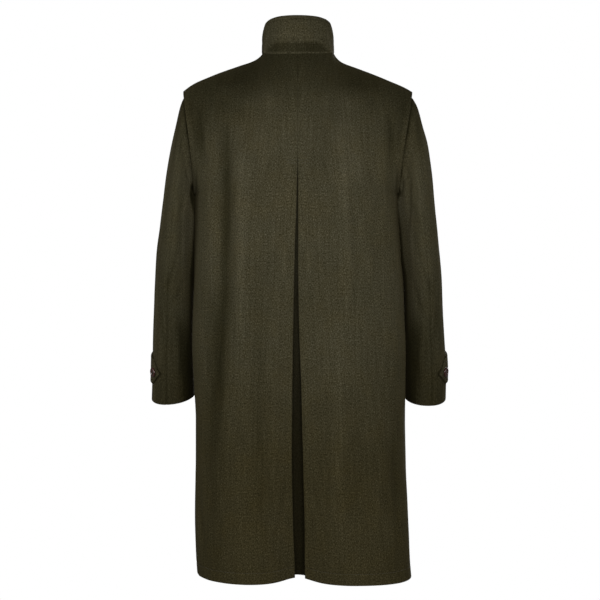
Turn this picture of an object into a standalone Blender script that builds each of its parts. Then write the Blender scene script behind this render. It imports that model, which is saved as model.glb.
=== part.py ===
"""A man's loden coat, filled out as if worn, with the wearer's hollow left empty.

Metres, +Z up. The origin is the middle of the neck ring at the height of the centre back neck seam.
The front faces -Y, the back +Y, and the wearer's left is +X. Every piece of cloth is a wall between
an outer grid of points and the same grid moved in by the cloth's thickness.
"""
import math

import bmesh
import bpy
import numpy as np
from mathutils import Matrix

MM = 0.001
CLOTH = 2.6 * MM
SEAM_GAP = 0.3 * MM
CENTRE_SEAM_GAP = 0.5 * MM
TOUCHING = 0.001 * MM
SHARP_ANGLE = 50

# Neck ring and collar
NECK_HALF_WIDTH = 75 * MM
NECK_HALF_DEPTH = 78 * MM
COLLAR_END_ANGLE = 171
COLLAR_SEAM_GAP = 0.6 * MM
COLLAR_COLUMNS = 39
# Each row is a share of the collar's height and the share of its lean that is reached there.
COLLAR_PROFILE = ((0.0, 0.0), (0.22, 0.0), (0.44, 0.15), (0.62, 0.12), (0.8, 0.4), (0.92, 0.7), (1.0, 1.0))
NECK_TRIM = 0.6 * MM

# Body lengths
HEM_Z = -1091 * MM
UNDERARM_Z = -290 * MM
PLEAT_TOP_Z = -226 * MM
UNDERLAY_TOP_Z = -196 * MM
HEM_EASE_HEIGHT = 150 * MM
HEM_RISE = 9 * MM
HEM_RISE_REACH = 34 * MM
RECESS_REACH = 66 * MM
FRONT_SQUARENESS = 2.5

# Armhole ovals
SHOULDER_CORNER_X = 245 * MM
SHOULDER_CORNER_Z = -69 * MM
SHOULDER_SEAM_START_X = NECK_HALF_WIDTH + 2 * MM
ARMHOLE_HALF_DEPTH = 63 * MM
ARMHOLE_SQUARENESS = 2.3
ARMHOLE_BOW = 4 * MM
UNDERARM_HOLD = 4
SLEEVE_DEPTH_SHARE = 0.948
SLEEVE_HEAD_SHARE = 0.905
SLEEVE_FOOT_SHARE = 0.987
SLEEVE_TUCK = 6 * MM

# Front overlap and buttons
FRONT_OVERLAP = 28 * MM
UNDERLAP_DEPTH = 3.3 * MM
UNDERLAP_NEAR = 6 * MM
UNDERLAP_FAR = 40 * MM
FRONT_BUTTON_FIRST_Z = -105 * MM
FRONT_BUTTON_STEP = 128 * MM
FRONT_BUTTON_COUNT = 5
BUTTON_RADIUS = 10.5 * MM
BUTTON_SIDES = 16
BUTTON_SLACK = 0.4 * MM
SEAT_STEPS = 9

# Cuff tabs
TAB_HEIGHT_ABOVE_CUFF = 70 * MM
TAB_HALF_WIDTH = 27.5 * MM
TAB_POINT_LENGTH = 24 * MM
TAB_TIP_SHARE = 0.08
TAB_SEAT = 0.45 * MM
TAB_COLUMNS = 13
TAB_ROWS = 5
TAB_BACK_ANGLE = 60
TAB_FRONT_ANGLE = -78
TAB_BUTTON_ANGLE = 37
HINDARM_SEAM_ANGLE = 79
FOREARM_SEAM_ANGLE = -80

# Each row is a level of the body, in millimetres; left is the wearer's left.
BODY_COLUMNS = ("z", "left", "right", "back", "front", "left_square", "right_square", "gap", "drift",
                "recess")
BODY_LEVELS = (
    (-1091, 215, 239, 187, 170, 2.7, 4.2, 19.5, -4.5, 42),
    (-1045, 218, 235, 186, 169, 2.7, 3.8, 20.0, -3.5, 41),
    (-977, 220, 232, 183, 168, 2.6, 3.3, 22.5, -2.0, 38),
    (-860, 218, 228, 178, 165, 2.6, 2.8, 22.0, 0.5, 32),
    (-772, 218, 228, 174, 163, 2.6, 2.7, 19.7, 1.5, 26),
    (-702, 222, 229, 170, 161, 2.5, 2.6, 17.8, 2.0, 21),
    (-616, 226, 230, 164, 158, 2.5, 2.6, 14.0, 3.0, 14),
    (-550, 225, 228, 159, 155, 2.5, 2.5, 10.6, 3.5, 9),
    (-480, 223, 225, 154, 151, 2.5, 2.5, 8.0, 3.5, 5),
    (-424, 222, 220, 150, 148, 2.5, 2.5, 6.6, 3.0, 3),
    (-302, 220, 214, 141, 141, 2.5, 2.5, 2.4, 1.0, 0),
    (-226, 219, 212, 140, 139, 2.5, 2.5, 0.4, 0.5, 0),
    (0, 219, 212, 140, 139, 2.5, 2.5, 0.4, 0.0, 0),
)
BODY_ROW_LEVELS = (-1091, -1069, -1032, -975, -895, -810, -720, -630, -540, -450, -365)
YOKE_STEPS = (0.0, 0.1, 0.2, 0.31, 0.42, 0.53, 0.64, 0.74, 0.83, 0.91, 0.96, 1.0)

# Centre lines above the underarm, in millimetres: how far the cloth stands out at each height.
CENTRE_COLUMNS = ("z", "depth")
CENTRE_BACK = ((-290, 140), (-226, 141), (-170, 138), (-115, 129), (-65, 113), (-28, 95), (0, 78))
CENTRE_FRONT = ((-290, 140), (-235, 139), (-180, 131), (-125, 112), (-85, 93), (-58, 78))

# The neck seam's height round the ring; 0 degrees is the centre back and 180 the centre front.
NECK_COLUMNS = ("angle", "seam", "top", "lean")
NECK_RING = (
    (0, 0, 80, 7),
    (30, 2, 80, 7),
    (55, 7, 78, 6),
    (75, 13, 73, 5),
    (90, 15, 67, 5),
    (110, 9, 55, 5),
    (130, -10, 38, 5),
    (150, -35, 20, 4),
    (165, -51, 7, 3),
    (180, -58, 1, 3),
)

# The shoulder seam from the neck's side to the corner above the sleeve, in millimetres.
SHOULDER_COLUMNS = ("x", "left", "right")
SHOULDER_SEAM = (
    (75, 15, 15),
    (83, 6, 3),
    (94, -1, -6),
    (125, -12, -18),
    (165, -27, -33),
    (205, -44, -49),
    (228, -56, -59),
    (245, -69, -69),
)

# Long soft drapes: x is the distance from the centre line; depth is outward, a trough is negative.
DRAPE_FADE_LOW = (-60, 140)
DRAPE_FADE_TOP = (-70, 30)
DRAPE_COLUMNS = ("side", "face", "x_top", "x_low", "width", "depth", "z_top", "z_low")
DRAPES = (
    (1, 1, 150, 144, 15, -6.0, -150, -620),
    (1, 1, 112, 116, 20, 4.5, -200, -640),
    (1, 1, 206, 202, 12, -3.5, -120, -300),
    (1, 1, 70, 62, 24, -3.0, -420, -1000),
    (-1, 1, 108, 112, 26, 4.5, -110, -600),
    (-1, 1, 150, 158, 20, -4.0, -180, -700),
    (-1, 1, 196, 192, 10, -4.0, -130, -330),
    (-1, 1, 70, 74, 22, 3.0, -560, -1020),
    (1, -1, 120, 130, 24, -4.0, -330, -900),
    (1, -1, 165, 172, 20, 4.0, -330, -980),
    (-1, -1, 118, 122, 24, -4.0, -360, -930),
    (-1, -1, 168, 176, 22, 4.0, -300, -960),
)

# The pressed fold at the pleat's edge: how far along the panel and how deep each line of it lies.
FOLD_COLUMNS = ("along", "deep", "inner_along", "inner_deep")
PLEAT_FOLD = (
    (3.6, 6.4, 3.9, 3.8),
    (1.0, 5.8, 3.1, 3.7),
    (0.0, 3.2, 2.7, 3.2),
    (1.0, 0.6, 3.1, 2.7),
)
RETURN_WIDTH_COLUMNS = ("z", "width")
RETURN_WIDTHS = ((-1091, 76), (-300, 72), (-250, 50), (-205, 14), (0, 12))
RETURN_STEPS = (1.0, 0.66, 0.33)
FACE_START = 3.9 * MM

# The underlay lies behind the returns, and its middle sinks further in from the pleat's top to the hem.
UNDERLAY_DEPTH = 7.2 * MM
UNDERLAY_SAG = 22 * MM
UNDERLAY_SAG_SHAPE = 1.3
UNDERLAY_SAG_TOP_Z = PLEAT_TOP_Z - 60 * MM
UNDERLAY_WIDEST = 84 * MM
UNDERLAY_INSET = 2 * MM
UNDERLAY_COLUMNS = 13
FACE_STEPS = (0.0, 0.05, 0.1, 0.15, 0.21, 0.27, 0.34, 0.42, 0.51, 0.6, 0.69, 0.78, 0.86, 0.93, 1.0)
FRONT_STEPS = (0.0, 0.045, 0.09, 0.14, 0.19, 0.25, 0.32, 0.39, 0.47, 0.56, 0.65, 0.74, 0.82, 0.89, 0.95, 1.0)

# Sleeve rings in millimetres. Outer is the side away from the body, the ring tilts by its pitch, and
# swing is how much further in its inner side lies towards the front.
SLEEVE_COLUMNS = ("outer_x", "outer_z", "inner_x", "inner_z", "back", "front", "pitch", "swing")
LEFT_SLEEVE = (
    (253, -104, 228, -294, 65, -64, 0, 0.0),
    (261, -139, 227, -308, 70, -70, 0, 0.05),
    (270, -181, 225, -327, 74, -76, 1, 0.12),
    (279.5, -232, 224, -353, 75, -82, 2, 0.2),
    (287.5, -286, 224.5, -386, 74, -86, 4, 0.2),
    (295, -350, 225, -425, 70, -88, 6, 0.2),
    (303, -412, 225.5, -468, 64, -88, 8, 0.18),
    (307, -474, 226.5, -514, 56, -88, 10, 0.15),
    (311, -548, 227.5, -572, 41, -89, 12, 0.1),
    (314.5, -611, 227.5, -622, 25, -93, 14, 0.06),
    (317.5, -668, 226.5, -669, 8, -100, 16, 0.0),
    (321, -729, 225, -719, -6, -112, 18, 0.0),
)
RIGHT_SLEEVE = (
    (256, -104, 221, -294, 65, -64, 0, 0.0),
    (265.5, -139, 220, -309, 70, -70, 0, 0.05),
    (276, -181, 218.5, -327, 74, -76, 1, 0.12),
    (284, -232, 219.5, -353, 75, -82, 2, 0.2),
    (290.5, -286, 221.5, -386, 74, -86, 4, 0.2),
    (298, -350, 223, -425, 70, -88, 6, 0.2),
    (304, -412, 227, -468, 64, -88, 8, 0.18),
    (309.5, -474, 229.5, -514, 56, -88, 10, 0.15),
    (314, -548, 231, -572, 41, -89, 12, 0.1),
    (319, -611, 231.5, -622, 25, -93, 14, 0.06),
    (323.5, -668, 232, -671, 8, -100, 16, 0.0),
    (324, -728, 232, -726, -6, -112, 18, 0.0),
)
SLEEVE_SQUARENESS = 2.15
TOP_SLEEVE_COLUMNS = 13
UNDER_SLEEVE_COLUMNS = 13

# A button's profile from its middle to its back: radius share and height in millimetres.
BUTTON_PROFILE = ((0.0, 3.4), (0.56, 3.4), (0.72, 4.8), (1.0, 3.2), (0.9, 0.0), (0.0, 0.0))

SLOT_COLOURS = {
    "loden": ((0.047, 0.043, 0.026, 1.0), 0.85),
    "pleat_loden": ((0.036, 0.032, 0.018, 1.0), 0.88),
    "horn_button": ((0.085, 0.028, 0.014, 1.0), 0.28),
}


def remove_everything():
    for thing in list(bpy.data.objects):
        bpy.data.objects.remove(thing, do_unlink=True)


def column(names, rows, name):
    """One named column of a table, as numbers."""
    return np.array([row[names.index(name)] for row in rows], dtype=float)


def smooth_lookup(names, rows, name, value):
    """A table's column at any value of its first column, on a smooth curve that never overshoots."""
    keys = column(names, rows, names[0])
    order = np.argsort(keys)
    keys = keys[order]
    heights = column(names, rows, name)[order]
    rises = np.diff(heights) / np.diff(keys)
    same_way = rises[:-1] * rises[1:] > 0
    blended = 2 * rises[:-1] * rises[1:] / np.where(same_way, rises[:-1] + rises[1:], 1.0)
    slopes = np.concatenate([rises[:1], np.where(same_way, blended, 0.0), rises[-1:]])
    value = np.clip(value, keys[0], keys[-1])
    index = np.clip(np.searchsorted(keys, value) - 1, 0, len(keys) - 2)
    span = keys[index + 1] - keys[index]
    t = (value - keys[index]) / span
    first = (2 * t**3 - 3 * t**2 + 1) * heights[index] + (t**3 - 2 * t**2 + t) * span * slopes[index]
    second = (3 * t**2 - 2 * t**3) * heights[index + 1] + (t**3 - t**2) * span * slopes[index + 1]
    return first + second


def body_size(name, z):
    return smooth_lookup(BODY_COLUMNS, BODY_LEVELS, name, z / MM)


def ease(low, high, value):
    """A soft step from 0 to 1 between two values."""
    t = np.clip((value - low) / (high - low), 0.0, 1.0)
    return t * t * (3 - 2 * t)


def resample(points, shares):
    """Points at given shares of a polyline's length."""
    steps = np.linalg.norm(np.diff(points, axis=0), axis=1)
    lengths = np.concatenate([[0.0], np.cumsum(steps)])
    wanted = np.asarray(shares) * lengths[-1]
    return np.stack([np.interp(wanted, lengths, points[:, axis]) for axis in range(3)], axis=1)


def grid_normals(grid, closed=False):
    """Unit normals of a grid of points, by the differences between neighbours."""
    along = np.gradient(grid, axis=0)
    if closed:
        across = np.roll(grid, -1, axis=1) - np.roll(grid, 1, axis=1)
    else:
        across = np.gradient(grid, axis=1)
    normals = np.cross(across, along)
    return normals / np.maximum(np.linalg.norm(normals, axis=2, keepdims=True), 1e-9)


DENSE = 120
DENSE_SHARES = np.linspace(0.0, 1.0, DENSE + 1)


def hem_lift(x, z, face):
    """The hem rises a little beside the pleat."""
    near_pleat = np.exp(-(x / HEM_RISE_REACH) ** 2) if face > 0 else 0.0 * x
    weight = 1.0 - ease(HEM_Z, HEM_Z + HEM_EASE_HEIGHT, z)
    return HEM_RISE * near_pleat * weight


def level_section(z, side, face):
    """A quarter of the body's outline at one height, from the centre line to the side seam."""
    width = body_size("left" if side > 0 else "right", z) * MM
    depth = body_size("back" if face > 0 else "front", z) * MM
    square = FRONT_SQUARENESS
    if face > 0:
        square = body_size("left_square" if side > 0 else "right_square", z)
    angle = np.linspace(0.0, math.pi / 2, 4 * DENSE + 1)
    x = width * np.sin(angle) ** (2 / square)
    y = depth * np.cos(angle) ** (2 / square)
    if face > 0:
        recess = body_size("recess", z) * MM
        y = y - recess * np.exp(-(x / RECESS_REACH) ** 2)
    points = np.stack([side * x, face * y, z + hem_lift(x, z, face)], axis=1)
    return resample(points, DENSE_SHARES)


def neck_point(angle, name="seam"):
    """A point on the neck seam, the angle in degrees from the centre back towards one side."""
    radians = math.radians(angle)
    height = smooth_lookup(NECK_COLUMNS, NECK_RING, name, abs(angle)) * MM
    return np.array([NECK_HALF_WIDTH * math.sin(radians), NECK_HALF_DEPTH * math.cos(radians), height])


def yoke_top(side, face):
    """The neck seam and then the shoulder seam, from the centre line to the shoulder corner."""
    angles = np.linspace(0, 90, 25) if face > 0 else np.linspace(180, 90, 25)
    neck = [neck_point(angle) for angle in angles]
    seam_x = np.linspace(NECK_HALF_WIDTH, SHOULDER_CORNER_X, 60)[1:]
    name = "left" if side > 0 else "right"
    seam = [np.array([x, 0.0, smooth_lookup(SHOULDER_COLUMNS, SHOULDER_SEAM, name, x / MM) * MM])
            for x in seam_x]
    points = np.array(neck + seam)
    points[:, 0] *= side
    return resample(points, DENSE_SHARES)


def armhole_x(reach, side):
    """How far out the armhole's edge lies, by its height from the underarm at 0 to the corner at 1."""
    underarm_x = body_size("left" if side > 0 else "right", UNDERARM_Z) * MM
    bow = ARMHOLE_BOW * math.sin(math.pi * reach)
    return side * (underarm_x + (SHOULDER_CORNER_X - underarm_x) * reach - bow)


def armhole_point(share, side, face):
    """The armhole's edge, from the underarm at 0 to the shoulder corner at 1."""
    reach = 0.5 * (1 - math.cos(math.pi * share))
    offset = abs(2 * reach - 1)
    y = ARMHOLE_HALF_DEPTH * (1 - offset**ARMHOLE_SQUARENESS) ** (1 / ARMHOLE_SQUARENESS)
    z = UNDERARM_Z + (SHOULDER_CORNER_Z - UNDERARM_Z) * reach
    return np.array([armhole_x(reach, side), face * y, z])


def centre_point(share, face):
    table = CENTRE_BACK if face > 0 else CENTRE_FRONT
    z = UNDERARM_Z + (table[-1][0] * MM - UNDERARM_Z) * share
    depth = smooth_lookup(CENTRE_COLUMNS, table, "depth", z / MM) * MM
    return np.array([0.0, face * depth, z])


def yoke_row(share, side, face, bottom, top):
    """A row between the underarm level and the shoulder, blended from the four edges around it."""
    centre = centre_point(share, face)
    edge = armhole_point(share, side, face)
    u = ease(0.0, 1.0, DENSE_SHARES)[:, None] ** (1 + UNDERARM_HOLD * (1 - share) ** 2)
    rails = (1 - share) * bottom + share * top
    ends = (1 - u) * centre + u * edge
    corners = ((1 - u) * ((1 - share) * bottom[0] + share * top[0])
               + u * ((1 - share) * bottom[-1] + share * top[-1]))
    return rails + ends - corners


def drape_depth(points, side, face):
    """How far the soft drapes push the cloth out at each point."""
    x = np.abs(points[..., 0]) / MM
    z = points[..., 2] / MM
    total = np.zeros_like(x)
    for row in DRAPES:
        drape = dict(zip(DRAPE_COLUMNS, row))
        if drape["side"] != side or drape["face"] != face:
            continue
        middle = np.interp(z, (drape["z_low"], drape["z_top"]), (drape["x_low"], drape["x_top"]))
        fade = ease(drape["z_low"] + DRAPE_FADE_LOW[0], drape["z_low"] + DRAPE_FADE_LOW[1], z)
        fade = fade * (1 - ease(drape["z_top"] + DRAPE_FADE_TOP[0], drape["z_top"] + DRAPE_FADE_TOP[1], z))
        total += drape["depth"] * fade * np.exp(-((x - middle) / drape["width"]) ** 2)
    return total * MM


def quarter_surface(side, face):
    """One quarter of the body: rows from hem to shoulder, each from the centre line outward."""
    rows = [level_section(z * MM, side, face) for z in BODY_ROW_LEVELS]
    bottom = level_section(UNDERARM_Z, side, face)
    top = yoke_top(side, face)
    rows += [yoke_row(share, side, face, bottom, top) for share in YOKE_STEPS]
    base = np.array(rows)
    flip = -side * face
    normals = grid_normals(base) * flip
    draped = base + normals * drape_depth(base, side, face)[..., None]
    normals = grid_normals(draped) * flip
    below = draped[:, -1, 2] <= UNDERARM_Z + TOUCHING
    normals[below, -1, 1] = 0.0
    shoulder = np.abs(draped[-1, :, 0]) > SHOULDER_SEAM_START_X
    normals[-1, shoulder, 1] = 0.0
    normals[:, 0, 0] = 0.0
    normals /= np.linalg.norm(normals, axis=2, keepdims=True)
    steps = np.linalg.norm(np.diff(draped, axis=1), axis=2)
    lengths = np.concatenate([np.zeros((len(draped), 1)), np.cumsum(steps, axis=1)], axis=1)
    return {"points": draped, "normals": normals, "lengths": lengths}


def on_surface(surface, row, distance):
    """A point and its outward normal at a distance from the centre line, along one row."""
    lengths = surface["lengths"][row]
    point = [np.interp(distance, lengths, surface["points"][row, :, axis]) for axis in range(3)]
    normal = np.array([np.interp(distance, lengths, surface["normals"][row, :, axis]) for axis in range(3)])
    return np.array(point), normal / np.linalg.norm(normal)


def trim_top(outer, inner):
    """Half a seam's gap is taken off the shoulder, and a little more off the curved neck edge."""
    at_neck = np.abs(outer[-1, :, :1]) < NECK_HALF_WIDTH
    trim = np.where(at_neck, NECK_TRIM, SEAM_GAP / 2)
    for grid in (outer, inner):
        last = grid[-1] - grid[-2]
        grid[-1] -= last / np.linalg.norm(last, axis=1, keepdims=True) * trim


def make_wall(name, slot, outer, inner, closed=False):
    """A closed wall between two grids of points, with its edges closed all round."""
    rows, columns = outer.shape[:2]
    mesh = bpy.data.meshes.new(name)
    vertices = np.concatenate([outer.reshape(-1, 3), inner.reshape(-1, 3)])
    inside = rows * columns
    faces = []
    last = columns if closed else columns - 1
    for row in range(rows - 1):
        for index in range(last):
            after = (index + 1) % columns
            a, b = row * columns + index, row * columns + after
            c, d = a + columns, b + columns
            faces.append((a, b, d, c))
            faces.append((inside + c, inside + d, inside + b, inside + a))
    for index in range(last):
        after = (index + 1) % columns
        low, high = (rows - 1) * columns + index, (rows - 1) * columns + after
        faces.append((index, inside + index, inside + after, after))
        faces.append((low, high, inside + high, inside + low))
    if not closed:
        for row in range(rows - 1):
            for index in (0, columns - 1):
                a, c = row * columns + index, (row + 1) * columns + index
                faces.append((a, c, inside + c, inside + a))
    mesh.from_pydata([tuple(point) for point in vertices], [], faces)
    return finish_mesh(name, slot, mesh)


def finish_mesh(name, slot, mesh):
    """Turns the faces outward, shades them and gives the object its material."""
    shape = bmesh.new()
    shape.from_mesh(mesh)
    bmesh.ops.recalc_face_normals(shape, faces=shape.faces)
    if shape.calc_volume(signed=True) < 0:
        bmesh.ops.reverse_faces(shape, faces=shape.faces)
    shape.to_mesh(mesh)
    shape.free()
    mesh.shade_smooth()
    mesh.set_sharp_from_angle(angle=math.radians(SHARP_ANGLE))
    mesh.materials.append(slot_material(name, slot))
    thing = bpy.data.objects.new(name, mesh)
    bpy.context.scene.collection.objects.link(thing)
    return thing


def slot_material(name, slot):
    colour, roughness = SLOT_COLOURS[slot]
    material = bpy.data.materials.new(name + "_" + slot)
    material.use_nodes = True
    shader = material.node_tree.nodes["Principled BSDF"]
    shader.inputs["Base Color"].default_value = colour
    shader.inputs["Roughness"].default_value = roughness
    shader.inputs["Metallic"].default_value = 0.0
    return material


def pleat_opening(row_z):
    """The gap between the back panels' edges at one height, and how far its middle lies to the left."""
    gap = max(body_size("gap", row_z) * MM, CENTRE_SEAM_GAP)
    return gap, body_size("drift", row_z) * MM


def signed_point(surfaces, side, row, distance):
    """A point at a distance on one side of the centre line, or past it where that is negative."""
    if distance >= 0:
        return on_surface(surfaces[side], row, distance)
    return on_surface(surfaces[-side], row, -distance)


def back_panel(surfaces, side):
    """A back panel with its pressed pleat edge and the return folded in behind it."""
    surface = surfaces[side]
    row_count = len(surface["points"])
    outer_rows = []
    inner_rows = []
    for row in range(row_count):
        row_z = surface["points"][row, 0, 2]
        gap, drift = pleat_opening(row_z)
        start = side * drift + gap / 2
        width = smooth_lookup(RETURN_WIDTH_COLUMNS, RETURN_WIDTHS, "width", row_z / MM) * MM
        end = surface["lengths"][row, -1] - SEAM_GAP / 2
        outer = []
        inner = []
        for share in RETURN_STEPS:
            along = PLEAT_FOLD[0][0] * MM + (width - PLEAT_FOLD[0][0] * MM) * share
            point, normal = signed_point(surfaces, side, row, start + along)
            outer.append(point - normal * PLEAT_FOLD[0][1] * MM)
            inner.append(point - normal * PLEAT_FOLD[0][3] * MM)
        for line in PLEAT_FOLD:
            fold = dict(zip(FOLD_COLUMNS, line))
            point, normal = signed_point(surfaces, side, row, start + fold["along"] * MM)
            outer.append(point - normal * fold["deep"] * MM)
            point, normal = signed_point(surfaces, side, row, start + fold["inner_along"] * MM)
            inner.append(point - normal * fold["inner_deep"] * MM)
        first = start + FACE_START
        for share in FACE_STEPS:
            point, normal = signed_point(surfaces, side, row, first + (end - first) * share)
            outer.append(point)
            inner.append(point - normal * CLOTH)
        outer_rows.append(outer)
        inner_rows.append(inner)
    outer = np.array(outer_rows)
    inner = np.array(inner_rows)
    trim_top(outer, inner)
    make_wall("back_left" if side > 0 else "back_right", "loden", outer, inner)


def pleat_underlay(surfaces):
    """The strip behind the pleat's opening, deeper in its middle towards the hem."""
    left = surfaces[1]
    row_count = len([z for z in left["points"][:, 0, 2] if z < UNDERLAY_TOP_Z])
    shares = np.linspace(-1, 1, UNDERLAY_COLUMNS)
    outer_rows = []
    inner_rows = []
    for row in range(row_count):
        row_z = left["points"][row, 0, 2]
        width = smooth_lookup(RETURN_WIDTH_COLUMNS, RETURN_WIDTHS, "width", row_z / MM) * MM
        gap, drift = pleat_opening(row_z)
        half = min(width + gap / 2 - UNDERLAY_INSET, UNDERLAY_WIDEST)
        sag = UNDERLAY_SAG * (1 - ease(HEM_Z, UNDERLAY_SAG_TOP_Z, row_z))
        outer = []
        inner = []
        for share in shares:
            distance = drift + share * half
            side = 1 if distance >= 0 else -1
            point, normal = on_surface(surfaces[side], row, abs(distance))
            deep = UNDERLAY_DEPTH + sag * math.cos(share * math.pi / 2) ** UNDERLAY_SAG_SHAPE
            outer.append(point - normal * deep)
            inner.append(point - normal * (deep + CLOTH))
        outer_rows.append(outer)
        inner_rows.append(inner)
    make_wall("pleat_underlay", "pleat_loden", np.array(outer_rows), np.array(inner_rows))


def front_panel(surfaces, side):
    """A front panel from its overlapping edge to the side seam; the wearer's left lies on top."""
    surface = surfaces[side]
    outer_rows = []
    inner_rows = []
    for row in range(len(surface["points"])):
        end = surface["lengths"][row, -1] - SEAM_GAP / 2
        outer = []
        inner = []
        for share in FRONT_STEPS:
            distance = -FRONT_OVERLAP + (end + FRONT_OVERLAP) * share
            point, normal = signed_point(surfaces, side, row, distance)
            if side < 0:
                under = 1 - ease(FRONT_OVERLAP + UNDERLAP_NEAR, FRONT_OVERLAP + UNDERLAP_FAR, distance)
                point = point - normal * UNDERLAP_DEPTH * under
            outer.append(point)
            inner.append(point - normal * CLOTH)
        outer_rows.append(outer)
        inner_rows.append(inner)
    outer = np.array(outer_rows)
    inner = np.array(inner_rows)
    trim_top(outer, inner)
    make_wall("front_left" if side > 0 else "front_right", "loden", outer, inner)


def collar():
    """The turned-up collar: a low stand, a roll line, and the leaf leaning in towards its edge."""
    angles = np.linspace(-COLLAR_END_ANGLE, COLLAR_END_ANGLE, COLLAR_COLUMNS)
    rows = []
    for height, lean_share in COLLAR_PROFILE:
        row = []
        for angle in angles:
            seam = neck_point(angle)
            top = smooth_lookup(NECK_COLUMNS, NECK_RING, "top", abs(angle)) * MM
            lean = smooth_lookup(NECK_COLUMNS, NECK_RING, "lean", abs(angle)) * MM * lean_share
            start = seam[2] + COLLAR_SEAM_GAP
            outward = np.array([math.sin(math.radians(angle)), math.cos(math.radians(angle)), 0.0])
            point = seam - outward * lean
            point[2] = start + (top - start) * height
            row.append(point)
        rows.append(row)
    outer = np.array(rows)
    normals = grid_normals(outer)
    outward = outer * np.array([1, 1, 0])
    normals *= np.sign(np.sum(normals * outward, axis=2, keepdims=True))
    make_wall("collar", "loden", outer, outer - normals * CLOTH)


def armhole_ring(side, tuck):
    """The sleeve's seam ring, set just inside the armhole's edge and tucked in behind it."""
    middle_z = (UNDERARM_Z + SHOULDER_CORNER_Z) / 2
    ring = []
    for angle in range(360):
        face = 1 if angle <= 180 else -1
        point = armhole_point(1 - min(angle, 360 - angle) / 180, side, face)
        shrink = SLEEVE_HEAD_SHARE if point[2] > middle_z else SLEEVE_FOOT_SHARE
        point[2] = middle_z + (point[2] - middle_z) * shrink
        reach = (point[2] - UNDERARM_Z) / (SHOULDER_CORNER_Z - UNDERARM_Z)
        point[0] = armhole_x(reach, side) - side * tuck
        point[1] *= SLEEVE_DEPTH_SHARE
        ring.append(point)
    return ring


def sleeve_rings(side):
    """Smooth rings of one sleeve: its surface by the angle round it and the ring's number."""
    table = LEFT_SLEEVE if side > 0 else RIGHT_SLEEVE
    rings = [armhole_ring(side, SLEEVE_TUCK), armhole_ring(side, 0.0)]
    for row in table:
        size = dict(zip(SLEEVE_COLUMNS, row))
        outer = np.array([size["outer_x"], 0.0, size["outer_z"]])
        inner = np.array([size["inner_x"], 0.0, size["inner_z"]])
        middle_y = (size["back"] + size["front"]) / 2
        half_depth = (size["back"] - size["front"]) / 2
        slope = math.tan(math.radians(size["pitch"]))
        ring = []
        for angle in range(360):
            cosine = math.cos(math.radians(angle))
            sine = math.sin(math.radians(angle))
            across = math.copysign(abs(cosine) ** (2 / SLEEVE_SQUARENESS), cosine)
            depth = math.copysign(abs(sine) ** (2 / SLEEVE_SQUARENESS), sine) * half_depth
            point = (outer + inner) / 2 + (outer - inner) / 2 * across
            point[0] += size["swing"] * depth * max(0.0, -across)
            point[1] = middle_y + depth
            point[2] -= slope * depth
            point[0] *= side
            ring.append(point * MM)
        rings.append(ring)
    points = np.array(rings)
    normals = grid_normals(points, closed=True)
    middle = points.mean(axis=1, keepdims=True)
    facing = np.sign(np.sum(normals * (points - middle), axis=2, keepdims=True))
    return points, normals * facing


def ring_value(values, ring, angle):
    """A value on the rings at any angle in degrees, between whole degrees and whole rings."""
    low = math.floor(angle)
    share = angle - low
    below = min(int(math.floor(ring)), len(values) - 2)
    between = ring - below
    first = values[below][low % 360] * (1 - share) + values[below][(low + 1) % 360] * share
    second = values[below + 1][low % 360] * (1 - share) + values[below + 1][(low + 1) % 360] * share
    return first * (1 - between) + second * between


def sleeve_piece(name, points, normals, first_angle, last_angle, columns):
    """One of a sleeve's two pieces, between its seams."""
    outer_rows = []
    inner_rows = []
    for ring in range(len(points)):
        here = points[ring]
        trim_first = SEAM_GAP / 2 / np.linalg.norm(here[first_angle % 360] - here[(first_angle + 1) % 360])
        trim_last = SEAM_GAP / 2 / np.linalg.norm(here[last_angle % 360] - here[(last_angle - 1) % 360])
        angles = np.linspace(first_angle + trim_first, last_angle - trim_last, columns)
        outer = [ring_value(points, ring, angle) for angle in angles]
        facing = [ring_value(normals, ring, angle) for angle in angles]
        outer_rows.append(outer)
        inner_rows.append([point - normal / np.linalg.norm(normal) * CLOTH
                           for point, normal in zip(outer, facing)])
    make_wall(name, "loden", np.array(outer_rows), np.array(inner_rows))


def sleeve_point(points, normals, angle, above_cuff):
    """A point on the sleeve at an angle round it and a distance up from the cuff's edge."""
    line = points[:, int(round(angle)) % 360]
    steps = np.linalg.norm(np.diff(line[::-1], axis=0), axis=1)
    lengths = np.concatenate([[0.0], np.cumsum(steps)])
    ring = len(points) - 1 - np.interp(above_cuff, lengths, np.arange(len(points)))
    normal = ring_value(normals, ring, angle)
    return ring_value(points, ring, angle), normal / np.linalg.norm(normal)


def cuff_tab(side, points, normals):
    """The pointed tab round the outer side of the cuff, its point towards the back."""
    angles = np.linspace(TAB_FRONT_ANGLE, TAB_BACK_ANGLE, TAB_COLUMNS)
    middle_line = np.array([sleeve_point(points, normals, angle, TAB_HEIGHT_ABOVE_CUFF)[0] for angle in angles])
    to_tip = np.linalg.norm(np.diff(middle_line, axis=0), axis=1)[::-1].cumsum()[::-1]
    to_tip = np.append(to_tip, 0.0)
    outer_rows = []
    inner_rows = []
    for share in np.linspace(-1, 1, TAB_ROWS):
        outer = []
        inner = []
        for angle, distance in zip(angles, to_tip):
            narrow = min(1.0, distance / TAB_POINT_LENGTH * (1 - TAB_TIP_SHARE) + TAB_TIP_SHARE)
            height = TAB_HEIGHT_ABOVE_CUFF + share * TAB_HALF_WIDTH * narrow
            point, normal = sleeve_point(points, normals, angle, height)
            inner.append(point + normal * TAB_SEAT)
            outer.append(point + normal * (TAB_SEAT + CLOTH))
        outer_rows.append(outer)
        inner_rows.append(inner)
    name = "cuff_tab_left" if side > 0 else "cuff_tab_right"
    make_wall(name, "loden", np.array(outer_rows), np.array(inner_rows))


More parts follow.
